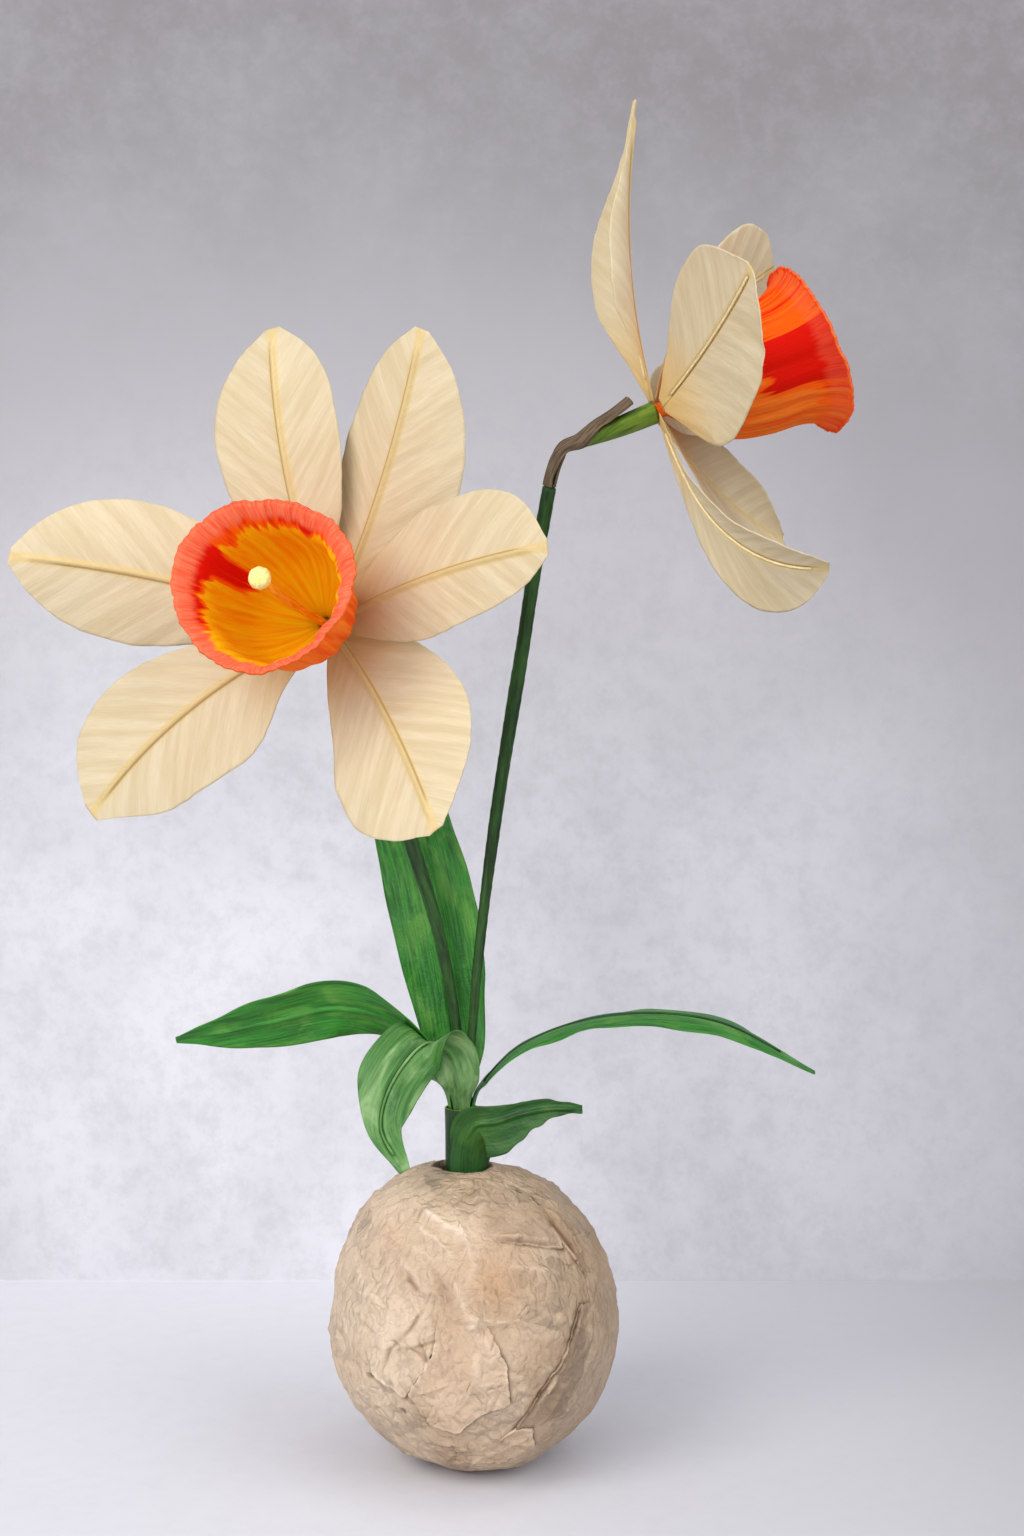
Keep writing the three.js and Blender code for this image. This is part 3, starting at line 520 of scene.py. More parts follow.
def petal_look():
    k = Look("petal_crepe")
    grain, place = k.attribute("grain"), k.attribute("place")
    x, y, _ = k.parts(place)
    fine = k.streaks(grain, 1.5, 0.12, 3.0, 0.6)
    fold = k.streaks(grain, 0.3, 0.02, 2.0, 0.5)
    cloud = k.noise(place, 0.035, 2.0, 0.5)
    tone = k.ramp(fold, 0.32, 0.68)
    color = k.mix(tone, rgb(211, 195, 160), rgb(224, 211, 181))
    color = k.mix(k.ramp(cloud, 0.35, 0.7, 0.0, 0.4), color, rgb(219, 206, 177))
    # warm yellow-orange near the base: partly the paper's own tint, partly painted glow thrown on the petal
    # by the orange trumpet
    near = k.ramp(y, 4.0, 44.0, 0.75, 0.0)
    color = k.mix(near, color, rgb(230, 190, 112))
    beside = k.math("ABSOLUTE", x)
    strip = k.ramp(k.plus(beside, k.times(fine, 1.2)), 1.8, 3.2, 0.6, 0.0)
    color = k.mix(strip, color, rgb(226, 198, 126))
    # painted shadow of the rib: a dark line along one side of the wire, fading out before the tip
    line = k.ramp(k.math("ABSOLUTE", k.plus(x, -0.9)), 0.12, 0.6, 0.65, 0.0)
    color = k.mix(k.times(line, k.ramp(y, 98.0, 106.0, 1.0, 0.0)), color, rgb(156, 112, 48))
    color = k.mix(k.ramp(fine, 0.3, 0.75, 0.25, 0.0), color, rgb(196, 172, 120))
    normal = k.bump(fine, 0.00022, 0.8)
    k.finish(color, 0.82, normal, 0.22, k.mix(0.3, color, rgb(244, 218, 150)), 0.2)


def trumpet_look():
    k = Look("trumpet_crepe")
    place, paint_and_shade = k.attribute("place"), k.attribute("paint_and_shade")
    inside = k.ramp(k.attribute("side", "Fac"), -0.2, 0.2)
    red, coral, painted_shade = k.parts(paint_and_shade)
    fine = k.streaks(place, 240.0, 4.0, 3.0, 0.6)
    broad = k.streaks(place, 60.0, 3.0, 3.0, 0.6)
    color = k.mix(k.ramp(broad, 0.3, 0.7), rgb(255, 176, 0), rgb(255, 226, 16))
    outer = k.mix(k.ramp(broad, 0.3, 0.7), rgb(246, 98, 24), rgb(252, 140, 44))
    color = k.mix(inside, outer, color)
    amount = k.plus(red, k.times(k.plus(fine, -0.5), 0.6))
    color = k.mix(k.ramp(amount, 0.3, 0.55), color, rgb(255, 104, 10))
    color = k.mix(k.ramp(amount, 0.6, 0.85), color, rgb(230, 20, 2))
    rim = k.mix(k.ramp(fine, 0.3, 0.7), rgb(240, 98, 62), rgb(252, 136, 98))
    band = k.times(coral, k.ramp(inside, 0.0, 1.0, 0.3, 1.0))
    color = k.mix(band, color, rim)
    # painted shade: dark red deep in the throat and along the overlapping seams at the rim
    color = k.mix(k.times(painted_shade, 0.8), color, rgb(190, 50, 10))
    normal = k.bump(fine, 0.0004, 0.9)
    glow = k.mix(k.times(inside, 0.5), color, rgb(255, 190, 20))
    k.finish(color, 0.85, normal, 0.27, glow, 0.12)


def paint_look(name, dark, light, pale, scale=1.0, gloss=0.42, streak=0.5):
    """Brushed paint on paper, streaked along the blade."""
    k = Look(name)
    place = k.attribute("place")
    stroke = k.noise(k.scaled(place, 1.1 * scale, 0.05 * scale, 1), 1.0, 4.0, 0.62)
    patch = k.noise(k.scaled(place, 0.11 * scale, 0.05 * scale, 1), 1.0, 3.0, 0.6, 0.6)
    color = k.mix(k.ramp(stroke, 0.32, 0.68), dark, light)
    color = k.mix(k.ramp(patch, 0.45, 0.75, 0.0, streak), color, pale)
    fine = k.streaks(place, 3.0, 0.3, 2.0, 0.5)
    crease = k.streaks(place, 0.35, 0.35, 3.0, 0.6, 0.8)
    normal = k.bump(k.plus(fine, k.times(crease, 1.4)), 0.0003, 0.7)
    k.finish(color, gloss, normal, 0.06, pale, 0.4)


def tape_look(name, dark, light, gloss=0.55):
    k = Look(name)
    place = k.attribute("place")
    fine = k.streaks(place, 1.6, 0.5, 4.0, 0.65)
    long = k.streaks(place, 0.5, 0.06, 3.0, 0.6)
    color = k.mix(k.ramp(long, 0.3, 0.7), dark, light)
    color = k.mix(k.ramp(fine, 0.4, 0.7, 0.25, 0.0), color, dark)
    k.finish(color, gloss, k.bump(fine, 0.0002, 0.8), specular=0.35)


def kraft_look():
    k = Look("bulb_kraft")
    place, shade_and_tint = k.attribute("place"), k.attribute("shade_and_tint")
    light, dark, bare = k.parts(shade_and_tint)
    cloud = k.noise(place, 0.035, 4.0, 0.6, 0.5)
    fibre = k.noise(k.scaled(place, 1.0, 1.0, 4.0), 0.9, 4.0, 0.7)
    speck = k.noise(place, 2.4, 2.0, 0.6)
    color = k.mix(k.ramp(cloud, 0.3, 0.7), rgb(186, 160, 133), rgb(210, 188, 163))
    color = k.mix(k.ramp(fibre, 0.35, 0.7, 0.3, 0.0), color, rgb(160, 129, 97))
    color = k.mix(k.ramp(speck, 0.66, 0.74, 0.0, 0.35), color, rgb(140, 108, 78))
    # light and dark are painted highlight and painted shade: on crease crests and hollows, along patch edges,
    # in the hole and on the lit left and shaded right, with each patch's own tone added; bare is browner
    # paper
    color = k.mix(light, color, rgb(232, 212, 188))
    color = k.mix(dark, color, rgb(88, 62, 40))
    color = k.mix(bare, color, rgb(186, 136, 92))
    drift = k.add("TexNoise", {"Vector": place, "Scale": 0.12, "Detail": 2.0}).outputs["Color"]
    bent = k.vector("ADD", place, k.scaled(drift, 5.0, 5.0, 5.0))
    large, small = k.facets(bent, 0.075), k.facets(bent, 0.2)
    crush = k.noise(k.scaled(bent, 0.8, 1.0, 0.5), 0.22, 1.5, 0.5, 0.15)
    fold = k.math("MINIMUM", k.math("ABSOLUTE", k.plus(crush, -0.5)), 0.12)
    height = k.plus(k.times(large, 0.45), k.times(small, 0.3))
    height = k.plus(height, k.times(fold, 2.8))
    # painted shade darkening the crush creases
    crease_shade = k.ramp(fold, 0.0, 0.012, 0.25, 0.0)
    color = k.mix(crease_shade, color, rgb(138, 106, 76))
    normal = k.bump(height, 0.0014, 0.9)
    normal = k.bump(fibre, 0.0003, 0.6, normal)
    k.finish(color, 0.62, normal, specular=0.3)


def plain_paper(name, a, b, scale, distance, gloss=0.8):
    k = Look(name)
    place = k.attribute("place")
    fine = k.noise(k.scaled(place, *scale), 1.0, 4.0, 0.65)
    color = k.mix(k.ramp(fine, 0.32, 0.68), a, b)
    k.finish(color, gloss, k.bump(fine, distance, 0.9), specular=0.25)


petal_look()
trumpet_look()
paint_look("leaf_paper", rgb(22, 88, 20), rgb(52, 140, 38), rgb(112, 172, 66))
paint_look("leaf_deep", rgb(14, 58, 12), rgb(34, 94, 24), rgb(76, 120, 44))
paint_look("leaf_pale", rgb(42, 96, 34), rgb(88, 140, 66), rgb(156, 190, 128), 0.8, 0.45, 0.8)
tape_look("stem_tape", rgb(16, 44, 8), rgb(44, 88, 26))
tape_look("leaf_wire", rgb(16, 46, 20), rgb(40, 84, 36))
plain_paper("petal_wire", rgb(214, 190, 140), rgb(238, 220, 176), (0.8, 0.3, 1), 0.0002)
paint_look("sheath_paper", rgb(8, 40, 8), rgb(24, 76, 18), rgb(58, 112, 38), 1.0, 0.4, 0.3)
plain_paper("sheath_edge", rgb(196, 190, 96), rgb(228, 222, 140), (0.6, 0.6, 1), 0.0002)
plain_paper("spathe_paper", rgb(74, 60, 46), rgb(126, 106, 84), (1.4, 0.1, 1), 0.0006, 0.7)
tape_look("ovary_paper", rgb(66, 98, 22), rgb(122, 150, 44), 0.5)
plain_paper("stalk_paper", rgb(232, 150, 26), rgb(252, 190, 56), (0.9, 0.15, 1), 0.0004)
plain_paper("bead_paper", rgb(226, 214, 110), rgb(252, 246, 172), (1.1, 1.1, 1.1), 0.0008)
kraft_look()

# Blooms


def petal_line(petal, u):
    turn = math.radians(petal["angle"])
    outward = np.array([math.cos(turn), math.sin(turn), 0])
    sideways = np.array([-math.sin(turn), math.cos(turn), 0])
    middle = (np.arange(24) + 0.5) / 24
    lean_of = lambda t: np.radians(lerp(petal["lean"][0], petal["lean"][1], np.abs(t) ** petal["curl"]))
    lean = lean_of(u[:, None] * middle)
    out = PETAL_START + petal["length"] * u * np.cos(lean).mean(1)
    up = petal["whorl"] + petal["length"] * u * np.sin(lean).mean(1)
    end = lean_of(u)
    centre = out[:, None] * outward + (petal["bow"] * 4 * u * (1 - u))[:, None] * sideways
    centre[:, 2] += up
    normal = -np.sin(end)[:, None] * outward
    normal[:, 2] += np.cos(end)
    return centre, sideways, normal


def add_petal(bloom, petal, number):
    seed = number + (10 if bloom["name"] == "right" else 0)
    rows, half = 101, 30
    u = np.linspace(0, 1, rows)
    s = across_blade(half, 1.35)
    centre, edge, normal = petal_line(petal, u)
    u = u[:, None]
    length = petal["length"]
    side = s > 0
    ccw, cw = (smooth(PETAL_STATIONS, petal[key], u) for key in ("ccw", "cw"))
    width = np.where(side, ccw, cw)
    half_number = np.where(side, 3.0, 8.0)
    rough = noise(stack(u * 9, half_number, seed), 5) * 0.45
    rough = rough + noise(stack(u * 30, half_number, seed), 6) * 0.18
    width = width + rough * ease(u, 0.1, 0.3) * np.abs(s)
    fold = np.where(side, petal["fold"][0], petal["fold"][1]) * np.minimum(1, u / 0.3)
    distance, across, rise = folded(s, width, fold)
    covered = ease(u, 0.03, 0.09) * (1 - ease(u, 0.92, 0.965))
    ridge = RIB_HEIGHT * 0.8 * np.exp(-((distance / 0.95) ** 2)) * covered
    lift = rise + ridge
    # soft folds run out and forward from the wire, as the grain of the paper does
    slant = math.radians(CREPE_SLANT)
    y = u * length
    a = distance * math.cos(slant) - y * math.sin(slant)
    b = distance * math.sin(slant) + y * math.cos(slant)
    a = a + np.where(side, 0.0, 400.0)
    away = ease(distance, 1.5, 14.0)
    lift = lift + 0.4 * away * noise(stack(a / 5.5, b / 45, seed), 1)
    lift = lift + 0.2 * ease(distance, 1.0, 5.0) * noise(stack(a / 2.0, b / 22, seed), 2)
    lift = lift + 0.9 * ease(distance, 6.0, 26.0) * noise(stack(y / 24, np.sign(s) * 3.0, seed), 3)
    grid = centre[:, None] + across[..., None] * edge + lift[..., None] * normal[:, None]
    name = f"petal_{bloom['name']}_{number}"
    data = {
        "grain": stack(a, b, seed * 7.0),
        "place": stack(np.sign(s) * distance, y, seed * 5.0),
    }
    obj = sheet(f"{name}_paper", to_world(bloom, grid), PETAL_DRAWN, "petal_crepe", data)
    place_on(obj, "petal_crepe", name)
    line, _, up = petal_line(petal, np.linspace(0.08, 0.94, 40))
    add_wire(name, to_world(bloom, line - INSET * up), PETAL_WIRE_DRAWN, "petal_wire", "petal_wire")


def add_trumpet(bloom):
    rows, cols = 84, 416
    u = np.linspace(0, 1, rows)[:, None] ** 0.9
    theta = full_turn(cols)
    turn = theta / (2 * np.pi)
    stations = np.linspace(0, 1, len(PROFILE))
    radius = smooth(stations, PROFILE[:, 0], u) * np.ones(cols)
    height = smooth(stations, PROFILE[:, 1], u) * np.ones(cols)
    seed = 3 if bloom["name"] == "left" else 4
    ring = stack(np.cos(theta), np.sin(theta), 0)
    # gathers: many narrow pleats at the rim, fewer soft ones down the wall
    crowd = noise(ring * 2.2, 11 + seed) * 1.6
    many = np.sin(theta * 52 + crowd * 3) * (0.6 + 0.4 * noise(ring * 9, 12 + seed))
    few = np.sin(theta * 19 + crowd * 2) + 0.6 * np.sin(theta * 11 + crowd)
    rim = ease(u, 0.74, 0.9)
    wall = ease(u, 0.1, 0.5) * (1 - 0.4 * ease(u, 0.75, 1))
    radius = radius + rim * 0.3 * many + wall * 0.42 * few
    height = height + rim * 0.16 * many * ease(u, 0.85, 1)
    waves = 1.0 * np.sin(3 * theta + 0.6) + 0.7 * noise(ring * 2.0, 13 + seed)
    radius = radius + u ** 2 * waves
    height = height + u ** 3 * 1.1 * noise(ring * 3.1, 14 + seed)
    sway = np.asarray(bloom["sway"], float)
    wide, high = (lerp(1, squeeze, u * u) for squeeze in bloom["oval"])
    grid = stack(
        sway[0] * (u ** 2) + wide * radius * np.cos(theta),
        sway[1] * (u ** 2) + high * radius * np.sin(theta),
        height,
    )
    # painted red in strokes that run down the wall from the rim
    degrees = np.degrees(theta)

    def zone(strength, middle, spread, inner, outer):
        away = np.abs((degrees - middle + 180) % 360 - 180)
        edge = 0.05 * noise(stack(theta * 14, 0, 1), 15 + seed)
        sector = 1 - ease(away, spread * 0.55, spread * 1.2)
        begun = ease(u + edge, inner, inner + 0.14)
        return strength * sector * begun * (1 - ease(u, outer, outer + 0.12))

    streak = noise(stack(theta * 26, u * 2.2, 2), 16 + seed) * 0.26
    red = np.clip(sum(zone(*stroke) for stroke in bloom["strokes"]) + streak, 0, 1.2)
    coral = ease(u + 0.02 * noise(stack(theta * 30, 0, 5), 17 + seed), 0.73, 0.8) * np.ones(cols)
    # painted shade: darker deep in the throat, and thin dark lines along the overlapping seams near the rim
    painted_shade = 0.2 * (1 - ease(u, 0.02, 0.2)) * np.ones(cols)
    seam = np.zeros(cols)
    for at in (12, 33, 58, 265, 318):
        seam += np.exp(-(((degrees - at + 180) % 360 - 180) / 0.7) ** 2)
    painted_shade = painted_shade + 0.55 * seam * ease(u, 0.8, 0.86)
    data = {"place": stack(turn, u, seed * 3.0), "paint_and_shade": stack(red, coral, painted_shade)}
    thick = 0.45 + 0.9 * ease(u, 0.93, 1) * np.ones(cols)
    name = f"trumpet_{bloom['name']}"
    obj = sheet(f"{name}_crepe", to_world(bloom, grid), thick, "trumpet_crepe", data, closed=True)
    place_on(obj, "trumpet_crepe", name)


def stalk_point(bead, t):
    t = np.asarray(t, float)
    foot = OVARY_FRONT - SOCKET_DEPTH + CLEARANCE
    head = BEAD_HEIGHT - BEAD_RADIUS + BEAD_SOCKET - CLEARANCE
    return stack(bead[0] * t * t, bead[1] * t * t, lerp(foot, head, t))


def add_pistil(bloom):
    name = bloom["name"]
    t = np.linspace(0, 1, 60)
    line = to_world(bloom, stalk_point(bloom["bead"], t))
    twist = lambda i, a: 0.13 * np.sin(3 * a + i * 0.35)
    radii = np.full(60, STALK_RADIUS - INSET)
    stalk = tube(f"pistil_stalk_{name}_twist", line, radii, 14, "stalk_paper", bulge=twist)
    place_on(stalk, "stalk_paper", f"pistil_stalk_{name}")
    head = stalk_point(bloom["bead"], 1.0)
    direction = unit(head - stalk_point(bloom["bead"], 5 / 6))
    centre = head + direction * (BEAD_RADIUS - BEAD_SOCKET + CLEARANCE)
    rings, sides = 40, 64
    polar = np.linspace(0, np.pi, rings)[:, None]
    around = full_turn(sides)
    ball = stack(np.sin(polar) * np.cos(around), np.sin(polar) * np.sin(around), np.cos(polar))
    bumps = 0.22 * noise(ball * 3.2, 21) + 0.14 * np.abs(noise(ball * 6.5, 22))
    points = to_world(bloom, centre + ball * (BEAD_RADIUS - INSET + bumps - INSET)[..., None])
    faces = [grid_faces(ring_numbers(rings, sides))]
    data = {"place": (ball * BEAD_RADIUS).reshape(-1, 3)}
    bead = make(f"pistil_bead_{name}_skin", points.reshape(-1, 3), faces, "bead_paper", data)
    place_on(bead, "bead_paper", f"pistil_bead_{name}")


def add_ovary(bloom):
    name = bloom["name"]
    t = np.linspace(0, 1, 60)
    radii = smooth([0, 0.3, 0.6, 1], [OVARY_BACK_RADIUS, 3.6, 4.3, OVARY_FRONT_RADIUS], t)
    line = to_world(bloom, stack(0, 0, lerp(OVARY_BACK, OVARY_FRONT, t)))
    lobes = lambda i, a: 0.22 * np.sin(3 * a) + 0.12 * np.sin(7 * a + i * 0.05) - 0.2
    obj = tube(f"ovary_{name}_wrap", line, radii, 36, "ovary_paper", bulge=lobes)
    place_on(obj, "ovary_paper", f"ovary_{name}")


for bloom in (LEFT, RIGHT):
    for number, petal in enumerate(bloom["petals"], 1):
        add_petal(bloom, petal, number)
    add_trumpet(bloom)
    add_pistil(bloom)
    add_ovary(bloom)

# Stems and spathes


def on_axis(bloom, height):
    return to_world(bloom, [0, 0, height])


def add_stem(bloom):
    name = bloom["name"]
    stem = STEMS[name]
    fx, fy = (v * STEM_SPACING for v in stem["foot"])
    points = [[BUNDLE_X + fx, fy, FOOT_HEIGHT], [BUNDLE_X + fx, fy, SHEATH_TOP], *stem["path"],
              on_axis(bloom, OVARY_BACK - 8), on_axis(bloom, OVARY_BACK),
              on_axis(bloom, OVARY_BACK + SOCKET_DEPTH - CLEARANCE)]
    curve, length = by_length(catmull(points))
    start = length - SOCKET_DEPTH + CLEARANCE - NECK_LENGTH
    d = np.concatenate([np.linspace(0, start - 1, 230), np.linspace(start, length, 60)])
    swell = ease(d / (start - 1), 0.25, 0.75)
    radii = np.where(d < start - 0.5, lerp(STEM_FOOT, stem["girth"], swell), STEM_NECK)
    overlap = lambda i, a: 0.16 * ((a / (2 * np.pi) + d[i] / 7.0) % 1.0) - 0.16
    turns = lambda i, a: overlap(i, a) + 0.06 * np.sin(2 * a + d[i] / 9)
    obj = tube(f"stem_{name}_tape", curve(d), radii, 28, "stem_tape", bulge=turns)
    place_on(obj, "stem_tape", f"stem_{name}")
    return curve, length, start


def add_spathe(bloom):
    curve, length, start = add_stem(bloom)
    name = bloom["name"]
    total = NECK_LENGTH + SPATHE_ON_OVARY
    rows, cols = 80, 41
    travelled = np.linspace(0, total, rows)
    on_ovary = travelled - NECK_LENGTH
    low = on_ovary < 0
    centre = np.where(low[:, None], curve(np.minimum(start + travelled, length)), on_axis(bloom, 0))
    axis = on_axis(bloom, 1) - on_axis(bloom, 0)
    centre[~low] = on_axis(bloom, 0) + np.outer(OVARY_BACK + on_ovary[~low], axis)
    ahead, behind = curve(np.minimum(start + travelled + 0.2, length)), curve(start + travelled - 0.2)
    tangent = np.where(low[:, None], unit(ahead - behind), axis)
    up = np.array([0, 0, 1.0]) - tangent[:, 2:3] * tangent
    up = unit(up)
    across = np.cross(tangent, up)
    share = ease(on_ovary, -6, 10)
    radius = lerp(STEM_NECK, OVARY_FRONT_RADIUS, share) + PAPER / 2 + CLEARANCE + INSET
    span = np.radians(lerp(165, 65, share))
    centre = centre + up * (SPATHE_LIFT * np.maximum(0, on_ovary / SPATHE_ON_OVARY) ** 2)[:, None]
    s = np.linspace(-1, 1, cols)
    ragged = 1 + 0.05 * noise(stack(travelled[:, None] / 4, np.sign(s) * 3, 1), 31)
    angle = span[:, None] * s * ragged
    crease = 0.28 * noise(stack(s * 6, travelled[:, None] / 16, 2), 32)
    crease = crease + 0.12 * noise(stack(s * 16, travelled[:, None] / 20, 3), 33)
    r = radius[:, None] + crease
    over, beside = (r * np.cos(angle))[..., None], (r * np.sin(angle))[..., None]
    grid = centre[:, None] + over * up[:, None] + beside * across[:, None]
    data = {"place": stack(angle * radius[:, None], travelled[:, None], 0)}
    obj = sheet(f"spathe_{name}_skin", grid, SPATHE_DRAWN, "spathe_paper", data)
    place_on(obj, "spathe_paper", f"spathe_{name}")


add_spathe(LEFT)
add_spathe(RIGHT)

# Leaves


def add_leaf(leaf, radius, heights, width, look):
    seat = math.radians(leaf["seat"])
    outward = np.array([math.cos(seat), math.sin(seat), 0])
    rim = [outward[1], -outward[0], 0]
    foot = [np.array([BUNDLE_X, 0, h]) + outward * radius for h in heights]
    points = np.array([*foot, *leaf["centre"]], float)
    sides = np.array([*([rim] * len(foot)), *leaf["side"]], float)
    stations = np.arange(len(sides)) / (len(sides) - 1)
    rows, half = 131, 19
    u = np.linspace(0, 1, rows)
    curve = catmull(points)
    centre = curve(u)
    tangent = unit(curve(np.minimum(u + 1e-4, 1)) - curve(np.maximum(u - 1e-4, 0)))
    edge = np.stack([smooth(stations, sides[:, k], u) for k in range(3)], -1)
    edge = unit(edge - (edge * tangent).sum(1, keepdims=True) * tangent)
    normal = np.cross(tangent, edge)
    s = across_blade(half, 1.25)
    side = s > 0
    feet = {"ccw": [width] * len(foot), "cw": leaf.get("feet", [width] * len(foot))}
    lists = [list(feet[key]) + list(leaf[key]) for key in ("ccw", "cw")]
    spread = np.where(side, smooth(stations, lists[0], u)[:, None], smooth(stations, lists[1], u)[:, None])
    foot_end = (len(foot) - 1) / (len(sides) - 1)
    seed = int(leaf["seat"])
    free = ease(u, foot_end, foot_end + 0.15)[:, None]
    ragged = noise(stack(u[:, None] * 16, np.sign(s) * 3, seed), 41) * 0.55
    spread = spread + ragged * free * np.abs(s)
    wrap = -0.5 * math.degrees(width / radius)
    fold = lerp(wrap, LEAF_FOLD, ease(u, foot_end, foot_end + 0.2))[:, None]
    distance, across, rise = folded(s, spread, fold)
    reach = (foot_end + 0.12, 0.95)
    covered = (ease(u, reach[0] - 0.06, reach[0]) * (1 - ease(u, reach[1] - 0.02, reach[1] + 0.02)))[:, None]
    ridge = RIB_HEIGHT * 0.75 * np.exp(-((distance / 0.9) ** 2)) * covered
    step = lengths_to(centre)[:, None]
    wave = 0.9 * ease(distance, 2.0, 14.0) * noise(stack(step / 13, np.sign(s) * 3, seed), 42)
    wave = wave + 0.35 * ease(distance, 1.0, 5.0) * noise(stack(distance / 4, step / 18, seed), 43)
    lift = rise + ridge + wave * free
    grid = centre[:, None] + across[..., None] * edge[:, None] + lift[..., None] * normal[:, None]
    data = {"place": stack(np.sign(s) * distance, step, seed * 1.7)}
    obj = sheet(f"{leaf['name']}_blade", grid, LEAF_DRAWN, look, data)
    place_on(obj, "leaf_paper", leaf["name"])
    w = np.linspace(*reach, 50)
    line = curve(w)
    up = np.stack([np.interp(w, u, normal[:, k]) for k in range(3)], -1)
    cover = look if look == "leaf_pale" else "leaf_wire"
    add_wire(leaf["name"], line - INSET * up, LEAF_WIRE_DRAWN, cover, "leaf_wire")


for leaf in LEAVES:
    look = "leaf_pale" if leaf["name"] == "leaf_front" else "leaf_paper"
    heights = [FOOT_HEIGHT, (FOOT_HEIGHT + SHEATH_TOP) / 2, SHEATH_TOP + LEAF_EMERGES]
    add_leaf(leaf, BUNDLE_RADIUS, heights, LEAF_FOOT_WIDTH, look)
heights = [SMALL_LEAF_FOOT, (SMALL_LEAF_FOOT + SHEATH_TOP) / 2]
outside_sheath = SHEATH_RADIUS + CLEARANCE + PAPER / 2 + SLACK
add_leaf(SMALL_LEAF, outside_sheath, heights, SMALL_LEAF_FOOT_WIDTH, "leaf_deep")


def add_sheath():
    rows, cols = 50, 72
    z = np.linspace(FOOT_HEIGHT, SHEATH_TOP, rows)[:, None]
    a = full_turn(cols)
    r = SHEATH_RADIUS - PAPER / 2 + 0.18 * noise(stack(np.cos(a) * 4, np.sin(a) * 4, z / 22), 51) - INSET
    grid = stack(BUNDLE_X + r * np.cos(a), r * np.sin(a), z)
    data = {"place": stack(a * SHEATH_RADIUS, z, 0)}
    obj = sheet("sheath_tube", grid, SHEATH_DRAWN, "sheath_paper", data, closed=True)
    obj.data.materials.append(LOOKS["sheath_edge"])
    n = rows * cols
    top = set(range(n - cols, n)) | set(range(2 * n - cols, 2 * n))
    for polygon in obj.data.polygons:
        if all(v in top for v in polygon.vertices):
            polygon.material_index = 1
    place_on(obj, "sheath_paper", "sheath")


add_sheath()

# Bulb


def bulb_point(polar, around):
    """A point on the smooth bulb: polar angle from the top and angle about the upright axis, in radians."""
    upper = polar < np.pi / 2
    sine = np.maximum(np.sin(polar), 1e-9)
    radius = BULB_RADIUS * np.where(upper, sine ** BULB_SHOULDER, sine)
    height = BULB_WAIST + np.cos(polar) * np.where(upper, BULB_ABOVE, BULB_BELOW)
    depth = np.clip((BULB_TOP - height) / BULB_ABOVE, 0, 1)
    x = lerp(BUNDLE_X, BULB_LEAN, 1 - (1 - depth) ** 3)
    return stack(x + radius * np.cos(around), radius * np.sin(around), height)


def front_points(pairs):
    """Points on the front of the bulb for places across and heights."""
    x, z = np.asarray(pairs, float).reshape(-1, 2).T
    reach = np.where(z > BULB_WAIST, BULB_ABOVE, BULB_BELOW)
    polar = np.arccos(np.clip((z - BULB_WAIST) / reach, -1, 1))
    right, left = bulb_point(polar, 0.0), bulb_point(polar, np.pi)
    middle, reach = (right[:, 0] + left[:, 0]) / 2, (right[:, 0] - left[:, 0]) / 2
    across = np.clip((x - middle) / np.maximum(reach, 1e-6), -0.995, 0.995)
    return bulb_point(polar, -np.arccos(across))


# Short creases all over the bulb
CREASES = 230
